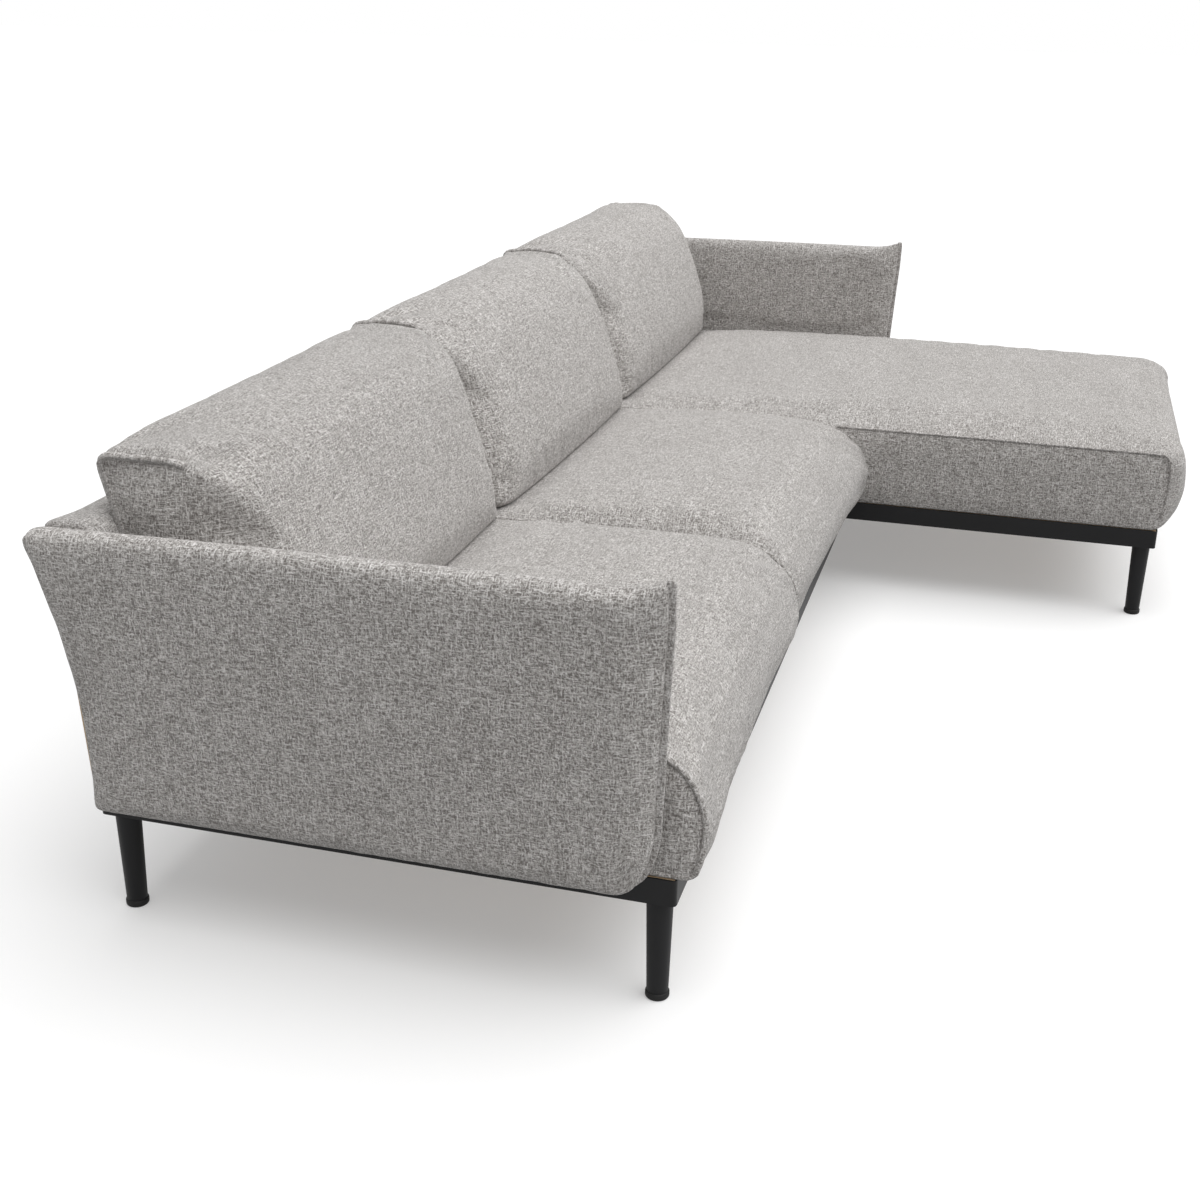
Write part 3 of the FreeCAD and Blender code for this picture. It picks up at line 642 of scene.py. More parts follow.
def smooth_path(points: np.ndarray, step: float) -> np.ndarray:
    """Points at even steps along a path.

    Args:
        points: the path's corners.
        step: the distance between new points.

    Returns:
        The new points.
    """
    lengths = np.concatenate(([0.0], np.cumsum(np.linalg.norm(np.diff(points, axis=0), axis=1))))
    count = max(2, int(lengths[-1] / step))
    places = np.linspace(0, lengths[-1], count + 1)
    return np.column_stack([np.interp(places, lengths, points[:, axis]) for axis in range(3)])


def welt(name: str, path: np.ndarray, radius: float, finish: bpy.types.Material, body: str) -> None:
    """Sew a cloth-covered cord along a seam.

    Args:
        name: the piece's name.
        path: the seam.
        radius: the cord's radius.
        finish: its material.
        body: the body that it rides on.
    """
    points = smooth_path(path, CORD_STEP)
    deselect()
    bpy.ops.curve.primitive_nurbs_path_add()
    piece = bpy.context.object
    piece.name = name
    curve = piece.data
    curve.splines.clear()
    line = curve.splines.new("POLY")
    line.points.add(len(points) - 1)
    line.points.foreach_set("co", np.column_stack([points, np.ones(len(points))]).ravel())
    curve.bevel_depth = radius
    curve.bevel_resolution = 2
    curve.use_fill_caps = True
    activate(piece)
    bpy.ops.object.convert(target="MESH")
    mesh = piece.data
    layer = mesh.uv_layers.get(WEAVE_MAP) or mesh.uv_layers.new(name=WEAVE_MAP)
    for corner in mesh.loops:
        row, turn = divmod(corner.vertex_index, CORD_SIDES)
        layer.data[corner.index].uv = (row * CORD_STEP, turn / CORD_SIDES * math.tau * radius)
    bpy.ops.object.shade_smooth()
    mesh.materials.clear()
    mesh.materials.append(finish)
    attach(piece, body)


# Sizes taken from the frame


def low_high(node: str) -> tuple[np.ndarray, np.ndarray]:
    """The lowest and highest corners of a node."""
    low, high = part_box(node)
    return np.array(low), np.array(high)


@dataclass(frozen=True)
class Ends:
    """A size at the low and at the high end of a cushion."""

    low: float
    high: float

    def across(self, a: np.ndarray) -> np.ndarray:
        """The size at places from -1 at the low end to 1 at the high end."""
        return self.low + (self.high - self.low) * (a + 1) / 2


@dataclass
class SeatCushion:
    """A seat cushion with a rolled bolster front and cloth gussets at its sides."""

    name: str
    node: str
    turn: float
    back_node: str
    bolster: Ends
    give: Ends
    drop: Ends
    edge: Ends
    bolster_height: float = 110 * MM
    toe: float = 30 * MM
    toe_height: float = 55 * MM
    crown: float = 30 * MM
    end_crown: float = 0.15
    crown_power: float = 5.0
    shoulder: float = 70 * MM
    bearing_play: float = 8 * MM
    cell: float = 13 * MM
    swell_power: float = 0.8
    set_back: Ends = Ends(2 * MM, 2 * MM)
    welt_return: float = 5 * MM
    welt_radius: float = 4.4 * MM
    seam_radius: float = 4.4 * MM
    seam_gap: float = 1 * MM
    fill: float = 0.8
    pressure: float = 3.0
    cap: float = 8 * MM

    def build(self, finish: bpy.types.Material) -> None:
        """Model, inflate and dress the cushion and its welts."""
        low, high = low_high(self.node)
        back_low, _ = low_high(self.back_node)
        top = back_low[2] - self.seam_gap
        bearing = back_low[1] - self.bearing_play
        spans = (
            round((high[0] - low[0]) / self.cell),
            round((high[1] - low[1]) / self.cell),
            round((top - low[2]) / self.cell) + 4,
        )
        pad = Pad(self.name, spans, Way.ROUND_X)
        a, b, c = pad.unit.T
        front = low[1] + self.set_back.across(a)
        x = spread(a, low[0], high[0])
        y = spread(b, front, high[1])
        z = spread(c, low[2], top)
        bolster = self.bolster.across(a)
        ahead, below_top = ease(y - front, top - z, bolster, self.bolster_height)
        y, z = front + ahead, top - below_top
        ahead, above_foot = ease(y - front, z - low[2], self.toe, self.toe_height)
        y, z = front + ahead, low[2] + above_foot
        from_end = np.minimum(x - low[0], high[0] - x)
        hollow = 1 - roundover(from_end, self.shoulder)
        fall = 1 - roundover(from_end, self.edge.across(np.sign(a)))
        up = np.clip((z - low[2]) / (top - low[2]), 0, 1)
        ahead = np.clip(1 - (y - front) / (2 * bolster), 0, 1)
        y = y + self.give.across(np.sign(a)) * hollow * ahead
        z = z - self.drop.across(np.sign(a)) * fall * up ** 2
        depth = np.clip((bearing - y) / (bearing - front), 0, 1)
        swell = np.sin(np.pi * depth) ** self.swell_power
        width = self.end_crown + (1 - self.end_crown) * (1 - np.abs(a) ** self.crown_power)
        z = z + self.crown * swell * width * up ** 2
        places = np.column_stack([x, y, z])
        move_to(pad.piece, places)
        pad.lay_weave(self.turn)
        at_end = np.abs(a) == 1
        sewn = at_end & ~np.isnan(pad.ring()) & ((np.abs(b) == 1) | (np.abs(c) == 1))
        on_deck = z < low[2] + self.seam_gap
        pad.inflate(sewn | (y > bearing) | on_deck, self.pressure, self.cap)
        pad.finish(finish, SOFA_BODY, self.node, self.fill)
        turn_under = low[1] + self.set_back.high + self.toe + self.welt_return
        for end in (-1, 1):
            self.add_welt(pad, places, end, turn_under, finish)

    def add_welt(
        self, pad: Pad, places: np.ndarray, end: int, turn_under: float, finish: bpy.types.Material
    ) -> None:
        """Sew a welt along the top and front of one side's gusset.

        Args:
            pad: the cushion's box.
            places: its vertices before it was inflated.
            end: -1 for the low end and 1 for the high one.
            turn_under: Y where the welt ends, under the front.
            finish: its material.
        """
        ring = pad.ring()
        seam = pad.seam(end)
        side = "low" if end < 0 else "high"
        runs = (("top", 1.95, 4.0, self.seam_radius), ("front", 4.0, 7.0, self.welt_radius))
        for run, start, stop, radius in runs:
            part = seam[(ring[seam] >= start) & (ring[seam] <= stop)]
            part = part[(ring[part] < 6) | (places[part, 1] < turn_under)]
            path = places[part]
            path[:, 2] = np.maximum(path[:, 2], places[:, 2].min() + radius)
            welt(f"{self.name}_{side}_{run}_welt", path, radius, finish, SOFA_BODY)


@dataclass
class BackCushion:
    """A loose wedge cushion: a wrapped front, a crowned top and a gusset sewn with a welt."""

    name: str
    node: str
    body: str
    turn: float
    end_crown: Ends
    set_back: Ends
    top_thickness: Ends
    belly: float
    foot_round: float = 15 * MM
    brow: float = 50 * MM
    rear_round: float = 20 * MM
    wrap: Ends = Ends(84 * MM, 18 * MM)
    wrap_depth: Ends = Ends(74 * MM, 16 * MM)
    top_wrap: float = 0.28
    wrap_height: float = 130 * MM
    crown: float = 30 * MM
    crown_from: float = 0.6
    crown_power: float = 1.5
    crest: float = 4 * MM
    heel: float = 18 * MM
    bow: float = 10 * MM
    end_belly: float = 0.8
    width_power: float = 2.6
    shoulder: Ends = Ends(110 * MM, 40 * MM)
    play: float = 1.5 * MM
    end_swell: float = 5 * MM
    cell: float = 12 * MM
    welt_radius: float = 5.4 * MM
    welt_from: float = 0.15
    welt_to: float = 3.75
    sewn_to: float = 3.9
    fill: float = 0.6
    pressure: float = 3.0
    cap: float = 10 * MM

    def build(self, finish: bpy.types.Material) -> None:
        """Model, inflate and dress the cushion and its welt."""
        low, high = low_high(self.node)
        top = high[2] - self.crown - self.crest
        rear_top = high[1] - BACK_SLOPE * (high[2] - self.crest - self.heel - top) - self.play
        full_depth = rear_top - low[1]
        spans = (
            round((high[0] - low[0]) / self.cell),
            round(full_depth / self.cell),
            round((top - low[2]) / self.cell) + 2,
        )
        pad = Pad(self.name, spans, Way.ROUND_X)
        a, b, c = pad.unit.T
        x = spread(a, low[0], high[0])
        z = spread(c, low[2], top)
        thick = self.top_thickness.across(a)
        ahead = spread(b, 0, thick)
        ahead, below_top = ease(ahead, top - z, self.brow, self.brow)
        z = top - below_top
        behind, below_top = ease(thick - ahead, top - z, self.rear_round, self.rear_round)
        ahead, z = thick - behind, top - below_top
        ahead, above_foot = ease(ahead, z - low[2], self.foot_round, self.foot_round)
        z = low[2] + above_foot
        below = np.clip((top - z) / self.wrap_height, 0, 1)
        share = self.top_wrap + (1 - self.top_wrap) * below * below * (3 - 2 * below)
        end = np.sign(a)
        from_end = np.where(a < 0, x - low[0], high[0] - x)
        wrap, depth = self.wrap.across(end) * share, self.wrap_depth.across(end) * share
        from_end, ahead = ease(from_end, ahead, wrap, depth)
        x = np.where(a < 0, low[0] + from_end, high[0] - from_end)
        up = np.clip((z - low[2]) / (top - low[2]), 0, 1)
        rear = rear_top - BACK_SLOPE * (top - z)
        face_foot = low[1] + self.set_back.across(a)
        face_top = rear_top - thick
        face = face_foot + (face_top - face_foot) * up
        deep = ahead / thick
        width = 1 - np.abs(a) ** self.width_power
        belly = self.belly * (self.end_belly + (1 - self.end_belly) * width)
        face = face - belly * 4 * up * (1 - up) - self.bow * width
        y = face + (rear - face) * deep
        full = roundover(np.minimum(x - low[0], high[0] - x), self.shoulder.across(end))
        least = self.end_crown.across(end)
        full = least + (1 - least) * full
        near_top = np.clip((up - self.crown_from) / (1 - self.crown_from), 0, 1)
        over = np.sin(np.pi * np.clip(deep * 0.8 + 0.1, 0, 1)) ** 0.6
        z = z + self.crown * full * near_top ** self.crown_power * over
        inner = np.clip(np.sin(np.pi * (b + 1) / 2) * np.sin(np.pi * (c + 1) / 2), 0, 1)
        x = x + np.sign(a) * (np.abs(a) == 1) * self.end_swell * inner
        places = np.column_stack([x, y, z])
        move_to(pad.piece, places)
        pad.lay_weave(self.turn)
        ring = pad.ring()
        sewn = (np.abs(a) == 1) & (ring < self.sewn_to)
        rested = (c == -1) | ((b == 1) & (z < REST_HEIGHT))
        pad.inflate(sewn | rested, self.pressure, self.cap)
        pad.finish(finish, self.body, self.node, self.fill)
        for end in (-1, 1):
            seam = pad.seam(end)
            seam = seam[(ring[seam] > self.welt_from) & (ring[seam] < self.welt_to)]
            side = "low" if end < 0 else "high"
            welt(f"{self.name}_{side}_welt", places[seam], self.welt_radius, finish, self.body)


@dataclass
class Arm:
    """A slim upholstered arm with a thin nose and a sewn flange down its front."""

    name: str
    node: str
    side: int
    turn: float
    thickness: float = 44 * MM
    outer_foot: float = 1.346
    outer_top: float = 1.382
    nose: float = 19 * MM
    nose_reach: float = 70 * MM
    corner: float = 60 * MM
    corner_height: float = 118 * MM
    lean: float = 15 * MM
    lean_from: float = 0.60
    lean_height: float = 0.27
    lean_depth: float = 150 * MM
    rear_corner: float = 24 * MM
    rear_top: float = 26 * MM
    rear_flare: float = 48 * MM
    rear_fall: float = 10 * MM
    lift: float = 3 * MM
    foot_edge: float = 9 * MM
    rear_edge: float = 14 * MM
    flange_width: float = 9 * MM
    flange_thickness: float = 6 * MM
    ear: float = 9 * MM
    ear_reach: float = 11 * MM
    ear_depth: float = 30 * MM
    dip: float = 3 * MM
    crown: float = 6 * MM
    rest_top: float = 0.42
    fill: float = 0.9
    cell: float = 13 * MM
    pressure: float = 3.0
    cap: float = 6 * MM

    def __post_init__(self) -> None:
        """Read the arm's box."""
        low, high = low_high(self.node)
        self.front = low[1] + 1 * MM
        self.foot = low[2] + self.lift
        self.top = high[2] - 6 * MM
        self.rear = BACK_RAIL_FACE

    def centre(self, z: np.ndarray) -> np.ndarray:
        """The middle of the arm's thickness at a height, as a distance from the sofa's middle."""
        share = np.clip((z - self.foot) / (self.top - self.foot), 0, 1)
        return self.outer_foot + (self.outer_top - self.outer_foot) * share ** 1.15 - self.thickness / 2

    def front_lean(self, z: np.ndarray) -> np.ndarray:
        """How far the front edge stands back from its place at the top."""
        return self.lean * np.clip((self.lean_from - z) / self.lean_height, 0, 1)

    def build(self, finish: bpy.types.Material) -> None:
        """Model, inflate and dress the arm and its flange."""
        front, foot, top, rear = self.front, self.foot, self.top, self.rear
        spans = (6, round((rear - front) / self.cell), round((top - foot) / self.cell))
        pad = Pad(self.name, spans, Way.ROUND_Y)
        a, b, c = pad.unit.T
        half = self.thickness / 2
        x = a * half
        y = spread(b, front, rear)
        z = spread(c, foot, top)
        behind, above = ease(y - front, z - foot, self.corner, self.corner_height)
        y, z = front + behind, foot + above
        to_rear, above = ease(rear - y, z - foot, self.rear_corner, self.rear_corner)
        y, z = rear - to_rear, foot + above
        to_rear, below = ease(rear - y, top - z, self.rear_top, self.rear_top)
        y, z = rear - to_rear, top - below
        side_gap, below = ease(half - np.abs(x), top - z, half * 0.98, half * 0.98)
        x = np.sign(x) * (half - side_gap)
        z = top - below
        side_gap, above = ease(half - np.abs(x), z - foot, self.foot_edge, self.foot_edge)
        x, z = np.sign(x) * (half - side_gap), foot + above
        side_gap, to_rear = ease(half - np.abs(x), rear - y, self.rear_edge, self.rear_edge)
        x, y = np.sign(x) * (half - side_gap), rear - to_rear
        slim = self.nose / self.thickness
        x = x * (slim + (1 - slim) * roundover(y - front, self.nose_reach))
        swell = np.sin(np.pi * (b + 1) / 2) * np.sin(np.pi * (c + 1) / 2)
        x = x + self.crown * swell * (a == 1)
        behind = y - front
        at_top = np.clip(1 + (z - top) / self.ear_depth, 0, 1)
        z = z + at_top * self.ear * np.exp(-((behind / self.ear_reach) ** 2))
        z = z - at_top * self.dip * np.exp(-(((behind - 2.4 * self.ear_reach) / self.ear_reach) ** 2))
        z = z - self.rear_fall * np.clip(behind / (rear - front), 0, 1) ** 2 * (z - foot) / (top - foot)
        y = y + self.front_lean(z) * np.clip(1 - behind / self.lean_depth, 0, 1)
        flare = self.rear_flare * np.clip((z - FLARE_FROM) / FLARE_HEIGHT, 0, 1.1) ** 1.6
        y = y + flare * np.clip((y - front) / (rear - front), 0, 1) ** 3
        places = np.column_stack([self.side * (self.centre(z) + x), y, z])
        if self.side < 0:
            edit_faces(pad.piece, bpy.ops.mesh.flip_normals)
        move_to(pad.piece, places)
        pad.lay_weave(self.turn)
        sewn = b == -1
        rested = (a == -1) & (z < self.rest_top) | (z < foot + 2 * MM)
        pad.inflate(sewn | rested, self.pressure, self.cap)
        pad.finish(finish, SOFA_BODY, self.node, self.fill)
        self.add_flange(finish)

    def front_line(self) -> np.ndarray:
        """The front edge in Y and Z, from the ear down and round the corner."""
        angles = np.linspace(0, math.pi / 2, 24)
        heights = self.foot + self.corner_height * (1 - np.sin(angles))
        places = self.front + self.corner * (1 - np.cos(angles))
        heights = np.concatenate(([self.top + self.ear, self.top - 0.05, 0.5], heights))
        places = np.concatenate(([self.front] * 3, places)) + self.front_lean(heights)
        return np.column_stack([places, heights])

    def add_flange(self, finish: bpy.types.Material) -> None:
        """Sew the flat flange along the front edge."""
        line = self.front_line()
        line = np.column_stack([np.zeros(len(line)), line])
        path = smooth_path(line, 9 * MM)
        last = len(path) - 1
        pad = Pad(f"{self.name}_flange", (2, 3, last), Way.ROUND_Y)
        a, b, c = pad.unit.T
        index = np.round((1 - c) / 2 * last).astype(int)
        along = np.gradient(path, axis=0)
        along /= np.linalg.norm(along, axis=1, keepdims=True)
        outward = np.column_stack([np.zeros(len(path)), along[:, 2], -along[:, 1]])
        taper = np.interp(np.arange(len(path)), [0, 1, last - 6, last], [0.9, 1, 1, 0.15])
        reach = spread(b, -4 * MM, self.flange_width) * taper[index]
        edge = path[index] + outward[index] * reach[:, None]
        x = self.side * (self.centre(edge[:, 2]) + a * self.flange_thickness / 2)
        move_to(pad.piece, np.column_stack([x, edge[:, 1], edge[:, 2]]))
        pad.lay_weave(self.turn + 0.3)
        piece = pad.piece
        edit_faces(piece, bpy.ops.mesh.normals_make_consistent, inside=False)
        pad.smooth()
        piece.data.materials.append(finish)
        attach(piece, SOFA_BODY)


@dataclass
class ArmBoard:
    """The plywood board inside an arm, rounded to follow the arm's front corner."""

    node: str
    side: int
    thickness: float = 18 * MM
    corner: float = 70 * MM
    corner_height: float = 170 * MM

    def build(self, finish: bpy.types.Material) -> None:
        """Model the leaning board and dress it."""
        low, high = low_high(self.node)
        pad = Pad(f"{self.node}_panel", (1, 20, 20), Way.ROUND_Y)
        a, b, c = pad.unit.T
        y = spread(b, low[1], high[1])
        z = spread(c, low[2], high[2])
        behind, above = ease(y - low[1], z - low[2], self.corner, self.corner_height)
        y, z = low[1] + behind, low[2] + above
        lean = (high[0] - low[0] - self.thickness) * (z - low[2]) / (high[2] - low[2])
        inner = low[0] + lean if self.side > 0 else high[0] - lean - self.thickness
        x = inner + self.thickness * (a + 1) / 2
        move_to(pad.piece, np.column_stack([x, y, z]))
        pad.piece.data.materials.append(finish)
        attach(pad.piece, SOFA_BODY)
        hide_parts(self.node)


@dataclass
class Back:
    """The upholstered back between an arm and the joint of the two modules."""

    name: str
    node: str
    turn: float
    top_round: float = 28 * MM
    top_gap: float = 10 * MM
    thickness: float = 120 * MM
    face_top: float = 0.726
    rear_foot: float = 0.783
    rear_flare: float = 27 * MM
    flare_power: float = 1.4
    arm_foot: float = 1.303
    arm_top: float = 1.340
    fill: float = 0.9
    rows: int = 9
    cell: float = 16 * MM
    pressure: float = 3.0
    cap: float = 8 * MM

    def build(self, finish: bpy.types.Material) -> None:
        """Model, inflate and dress the back."""
        low, high = low_high(self.node)
        top = high[2] - self.top_gap
        foot = low[2]
        spans = (round((high[0] - low[0]) / self.cell), self.rows, round((top - foot) / self.cell))
        pad = Pad(self.name, spans, Way.ROUND_X)
        a, b, c = pad.unit.T
        z = spread(c, foot, top)
        thick = self.thickness
        deep = spread(b, 0, thick)
        for reach, flip in ((self.top_round, False), (self.top_round, True)):
            gap = thick - deep if flip else deep
            gap, below = ease(gap, top - z, reach, reach)
            deep = thick - gap if flip else gap
            z = top - below
        up = (z - foot) / (top - foot)
        flare = np.clip((z - FLARE_FROM) / FLARE_HEIGHT, 0, 1) ** self.flare_power
        rear = self.rear_foot + self.rear_flare * flare
        face = self.face_top - BACK_SLOPE * (REST_HEIGHT - z)
        y = face + (rear - face) * deep / thick
        lean = self.arm_foot + (self.arm_top - self.arm_foot) * np.clip(up, 0, 1)
        x_low = -lean if low[0] < -1 else np.full(len(a), low[0])
        x_high = lean if high[0] > 1 else np.full(len(a), high[0])
        x = x_low + (x_high - x_low) * (a + 1) / 2
        places = np.column_stack([x, y, z])
        move_to(pad.piece, places)
        pad.lay_weave(self.turn)
        rested = (np.abs(a) == 1) | (b == -1) | (z < foot + 2 * MM)
        pad.inflate(rested, self.pressure, self.cap)
        pad.finish(finish, SOFA_BODY, self.node, self.fill)


@dataclass
class Legs:
    """Tapered round legs on rounded glides."""

    top_radius: float = 19 * MM
    foot_radius: float = 15.5 * MM
    glide_radius: float = 17.25 * MM
    glide_height: float = 11 * MM
    sunk: float = 0.2 * MM
    leg_edge: float = 0.8 * MM
    glide_edge: float = 3.4 * MM
    sides: int = 48
    smooth_angle: float = 40.0
    corners: tuple[str, ...] = (
        "sofa_front",
        "sofa_back",
        "sofa_middle",
        "chaise_inner_front",
        "chaise_outer_front",
        "chaise_inner_back",
        "chaise_outer_back",
    )

    def turned(
        self, name: str, low: float, high: float, radii: tuple[float, float], edge: float
    ) -> bpy.types.Object:
        """A round bar or taper about Z with its rims rounded.

        Args:
            name: the piece's name.
            low: its lowest height.
            high: its highest height.
            radii: its radii at the low and the high end.
            edge: the radius of its rims.

        Returns:
            The bar, at the origin in plan.
        """
        deselect()
        bpy.ops.mesh.primitive_cone_add(
            vertices=self.sides,
            radius1=radii[0],
            radius2=radii[1],
            depth=high - low,
            location=(0, 0, (low + high) / 2),
        )
        bpy.ops.object.transform_apply(location=True, rotation=True, scale=True)
        piece = bpy.context.object
        piece.name = name
        pick_edges(piece, lambda one, other: abs(one.z - other.z) < 1e-6)
        bpy.ops.mesh.bevel(offset=edge, segments=4, profile=0.5)
        bpy.ops.object.mode_set(mode="OBJECT")
        bpy.ops.object.shade_smooth_by_angle(angle=math.radians(self.smooth_angle))
        return piece

    def build(self, paint: bpy.types.Material, rubber: bpy.types.Material) -> None:
        """Model one leg and one glide, and copy them to every corner."""
        _, high = low_high(f"{self.corners[0]}_leg")
        radii = (self.foot_radius, self.top_radius)
        shaft = self.turned("leg", self.glide_height, high[2], radii, self.leg_edge)
        radii = (self.glide_radius, self.glide_radius)
        disc = self.turned("glide", 0.0, self.glide_height + self.sunk, radii, self.glide_edge)
        discs: dict[str, list[bpy.types.Object]] = {"sofa": [], "chaise": []}
        for corner in self.corners:
            low, high = low_high(f"{corner}_leg")
            centre = (low + high) / 2
            move = Vector((centre[0], centre[1], 0))
            piece = self.copied(shaft, f"{corner}_turned_leg", move)
            piece.data.materials.append(paint)
            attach(piece, SOFA_BODY)
            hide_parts(f"{corner}_leg")
            module = corner.split("_")[0]
            discs[module].append(self.copied(disc, f"{corner}_glide_disc", move))
        for module, members in discs.items():
            deselect()
            for member in members:
                member.select_set(True)
            bpy.context.view_layer.objects.active = members[0]
            bpy.ops.object.join()
            piece = members[0]
            piece.name = f"{module}_rounded_glides"
            piece.data.materials.append(rubber)
            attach(piece, SOFA_BODY)
            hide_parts(f"{module}_glides")
        for model in (shaft, disc):
            bpy.data.objects.remove(model)

    @staticmethod
    def copied(model: bpy.types.Object, name: str, move: Vector) -> bpy.types.Object:
        """A copy of a piece with its own mesh, moved within the mesh."""
        piece = model.copy()
        piece.data = model.data.copy()
        piece.data.transform(Matrix.Translation(move))
        piece.name = name
        bpy.context.collection.objects.link(piece)
        return piece


@dataclass
class Frame:
    """The steel, plywood and fasteners, which keep the solids' shapes."""

    finishes: dict[str, bpy.types.Material]

    def build(self) -> None:
        """Give every solid the finish of its slot."""
        slots = {part["node"]: part["material_slot"] for part in frame["record"]["subparts"]}
        for name, piece in frame["nodes"].items():
            piece.data.materials.clear()
            piece.data.materials.append(self.finishes[slots[name]])


@dataclass
class Studio:
    """The pale floor, the soft light and the camera."""

    camera_place: tuple[float, float, float] = (-3.092, -0.465, 1.329)
    yaw: float = 74.61
    pitch: float = 21.66
    roll: float = 0.84
    lens: float = 47.46
    sensor: float = 36.0
    sight: float = 100.0
    floor_size: float = 60.0
    world: float = 0.405
    floor_shade: float = 0.70
    bounce_shade: float = 0.42
    floor_glow: float = 0.29
    key_power: float = 2.86
    key_spread: float = 75.0
    key_way: tuple[float, float, float] = (-0.04, 0.36, -0.93)

    def build(self) -> None:
        """Set up the whole studio."""
        self.add_floor()
        self.add_world()
        self.add_lights()
        self.add_camera()
        bpy.context.scene.view_settings.view_transform = "Standard"

    def add_floor(self) -> None:
        """A white floor that keeps the sofa's shadow."""
        deselect()
        bpy.ops.mesh.primitive_plane_add(size=self.floor_size)
        floor = bpy.context.object
        floor.name = "floor"
        material = bpy.data.materials.new("floor_white")
        material.use_nodes = True
        graph = Graph(material.node_tree)
        matt, dull = (
            graph.node("ShaderNodeBsdfDiffuse", sockets={"Color": (shade, shade, shade, 1.0)})
            for shade in (self.floor_shade, self.bounce_shade)
        )
        white = (1.0, 1.0, 1.0, 1.0)
        glow = graph.node("ShaderNodeEmission", sockets={"Color": white, "Strength": self.floor_glow})
        both = graph.node("ShaderNodeAddShader", sockets={0: matt.outputs[0], 1: glow.outputs[0]})
        chosen = graph.node(
            "ShaderNodeMixShader", sockets={0: graph.seen(), 1: dull.outputs[0], 2: both.outputs[0]}
        )
        graph.node("ShaderNodeOutputMaterial", sockets={"Surface": chosen.outputs[0]})
        floor.data.materials.append(material)

    def add_world(self) -> None:
        """A white world that is plain white where it is seen."""
        world = bpy.data.worlds.new("studio")
        bpy.context.scene.world = world
        world.use_nodes = True
        graph = Graph(world.node_tree)
        strength = self.world + graph.seen() * (1.0 - self.world)
        sky = graph.node("ShaderNodeBackground", sockets={"Color": (1, 1, 1, 1), "Strength": strength})
        graph.node("ShaderNodeOutputWorld", sockets={"Surface": sky.outputs[0]})

    def add_lights(self) -> None:
        """One very soft light from above and before the sofa."""
        key = bpy.data.lights.new("key", "SUN")
        key.energy = self.key_power
        key.angle = math.radians(self.key_spread)
        holder = bpy.data.objects.new("key", key)
        holder.rotation_euler = Vector(self.key_way).to_track_quat("-Z", "Y").to_euler()
        bpy.context.collection.objects.link(holder)

    def add_camera(self) -> None:
        """The camera at the photograph's place and angle."""
        yaw, pitch, roll = (math.radians(angle) for angle in (self.yaw, self.pitch, self.roll))
        ahead = Vector(
            (math.sin(yaw) * math.cos(pitch), math.cos(yaw) * math.cos(pitch), -math.sin(pitch))
        )
        level = Vector((math.cos(yaw), -math.sin(yaw), 0))
        up = level.cross(ahead)
        right = math.cos(roll) * level + math.sin(roll) * up
        upright = -math.sin(roll) * level + math.cos(roll) * up
        camera = bpy.data.cameras.new("camera")
        camera.lens = self.lens
        camera.sensor_width = self.sensor
        camera.clip_end = self.sight
        holder = bpy.data.objects.new("camera", camera)
        turn = Matrix((right, upright, -ahead)).transposed()
        holder.matrix_world = Matrix.Translation(self.camera_place) @ turn.to_4x4()
        bpy.context.collection.objects.link(holder)
        bpy.context.scene.camera = holder


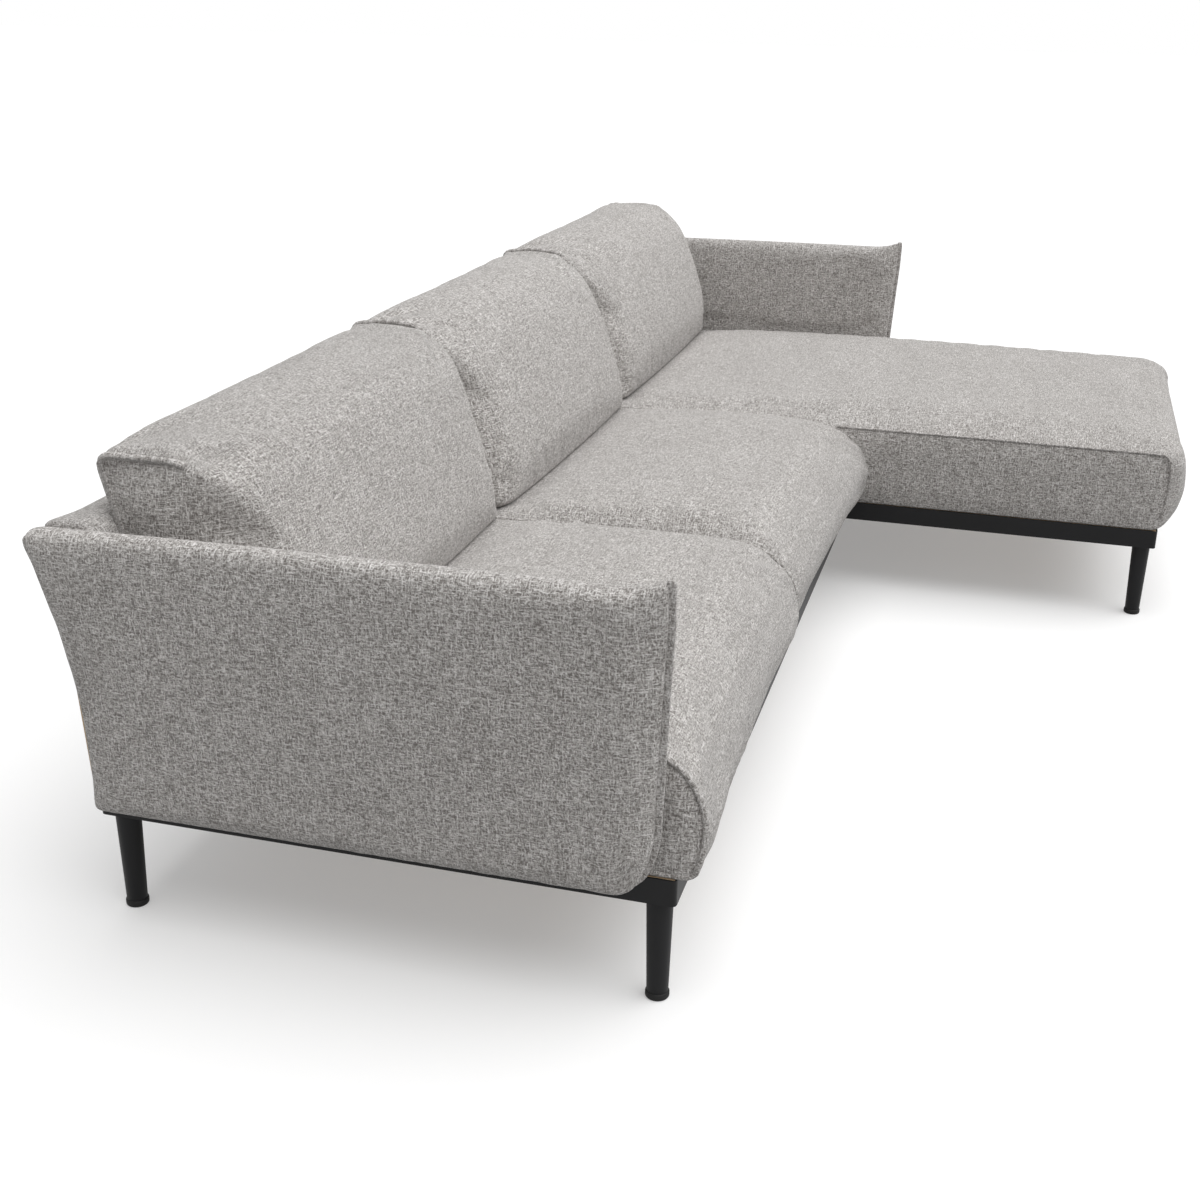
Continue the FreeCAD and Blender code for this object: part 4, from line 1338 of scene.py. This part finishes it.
def build_sofa() -> None:
    """Build every piece of the sofa in order."""
    cloth = Weave("linen_weave_cloth").material()
    paint = Coated("satin_black_paint").material()
    rubber = Coated("black_rubber", (0.014, 0.014, 0.014), (0.022, 0.022, 0.022), 0.6).material()
    zinc = Coated("zinc_plate", (0.60, 0.60, 0.58), (0.45, 0.45, 0.44), 0.35, metallic=1.0).material()
    plywood = Plywood("birch_plywood").material()
    finishes = {
        "linen_weave": cloth,
        "black_steel": paint,
        "glide_rubber": rubber,
        "zinc_steel": zinc,
        "plywood": plywood,
    }
    Frame(finishes).build()
    Legs().build(paint, rubber)
    Arm("sofa_arm_cover", "sofa_arm", -1, 0.0).build(cloth)
    Arm("chaise_arm_cover", "chaise_arm", 1, 1.7).build(cloth)
    for node, side in (("sofa_arm_board", -1), ("chaise_arm_board", 1)):
        ArmBoard(node, side).build(plywood)
    Back("sofa_back_cover", "sofa_back", 3.1).build(cloth)
    Back("chaise_back_cover", "chaise_back", 4.3).build(cloth)
    SeatCushion(
        "near_seat", "near_seat_cushion", 5.2, "near_back_cushion",
        bolster=Ends(78 * MM, 120 * MM), give=Ends(4 * MM, 10 * MM),
        drop=Ends(0, 3 * MM), edge=Ends(20 * MM, 10 * MM),
        set_back=Ends(15 * MM, 26 * MM), toe=24 * MM, toe_height=105 * MM, welt_return=110 * MM,
    ).build(cloth)
    SeatCushion(
        "middle_seat", "middle_seat_cushion", 7.9, "middle_back_cushion",
        bolster=Ends(120 * MM, 135 * MM), give=Ends(26 * MM, 4 * MM),
        drop=Ends(62 * MM, 3 * MM), edge=Ends(58 * MM, 16 * MM),
        set_back=Ends(26 * MM, 2 * MM), toe=42 * MM, toe_height=115 * MM,
    ).build(cloth)
    SeatCushion(
        "chaise_seat", "chaise_cushion", 9.1, "chaise_back_cushion",
        bolster=Ends(40 * MM, 56 * MM), give=Ends(38 * MM, 6 * MM),
        drop=Ends(8 * MM, 3 * MM), edge=Ends(60 * MM, 20 * MM),
        bolster_height=46 * MM, toe=42 * MM, toe_height=115 * MM,
        shoulder=120 * MM, seam_radius=2.2 * MM, swell_power=0.38, crown_power=8.0,
    ).build(cloth)
    pillows = (
        ("near", Ends(0.0, 0.3), Ends(22 * MM, 5 * MM), Ends(158 * MM, 186 * MM), 20 * MM),
        ("middle", Ends(0.7, 0.3), Ends(10 * MM, -6 * MM), Ends(166 * MM, 181 * MM), 27 * MM),
        ("chaise", Ends(0.7, 0.2), Ends(6 * MM, -3 * MM), Ends(172 * MM, 193 * MM), 34 * MM),
    )
    for index, (place, *shape) in enumerate(pillows):
        node = f"{place}_back_cushion"
        turn = 10.4 + 1.9 * index
        BackCushion(f"{place}_back_pillow", node, f"{node}_body", turn, *shape).build(cloth)


def main() -> None:
    """Build the sofa and its studio."""
    logging.basicConfig(level=logging.INFO, format="%(name)s: %(message)s")
    build_sofa()
    Studio().build()
    deselect()


if __name__ == "__main__":
    main()
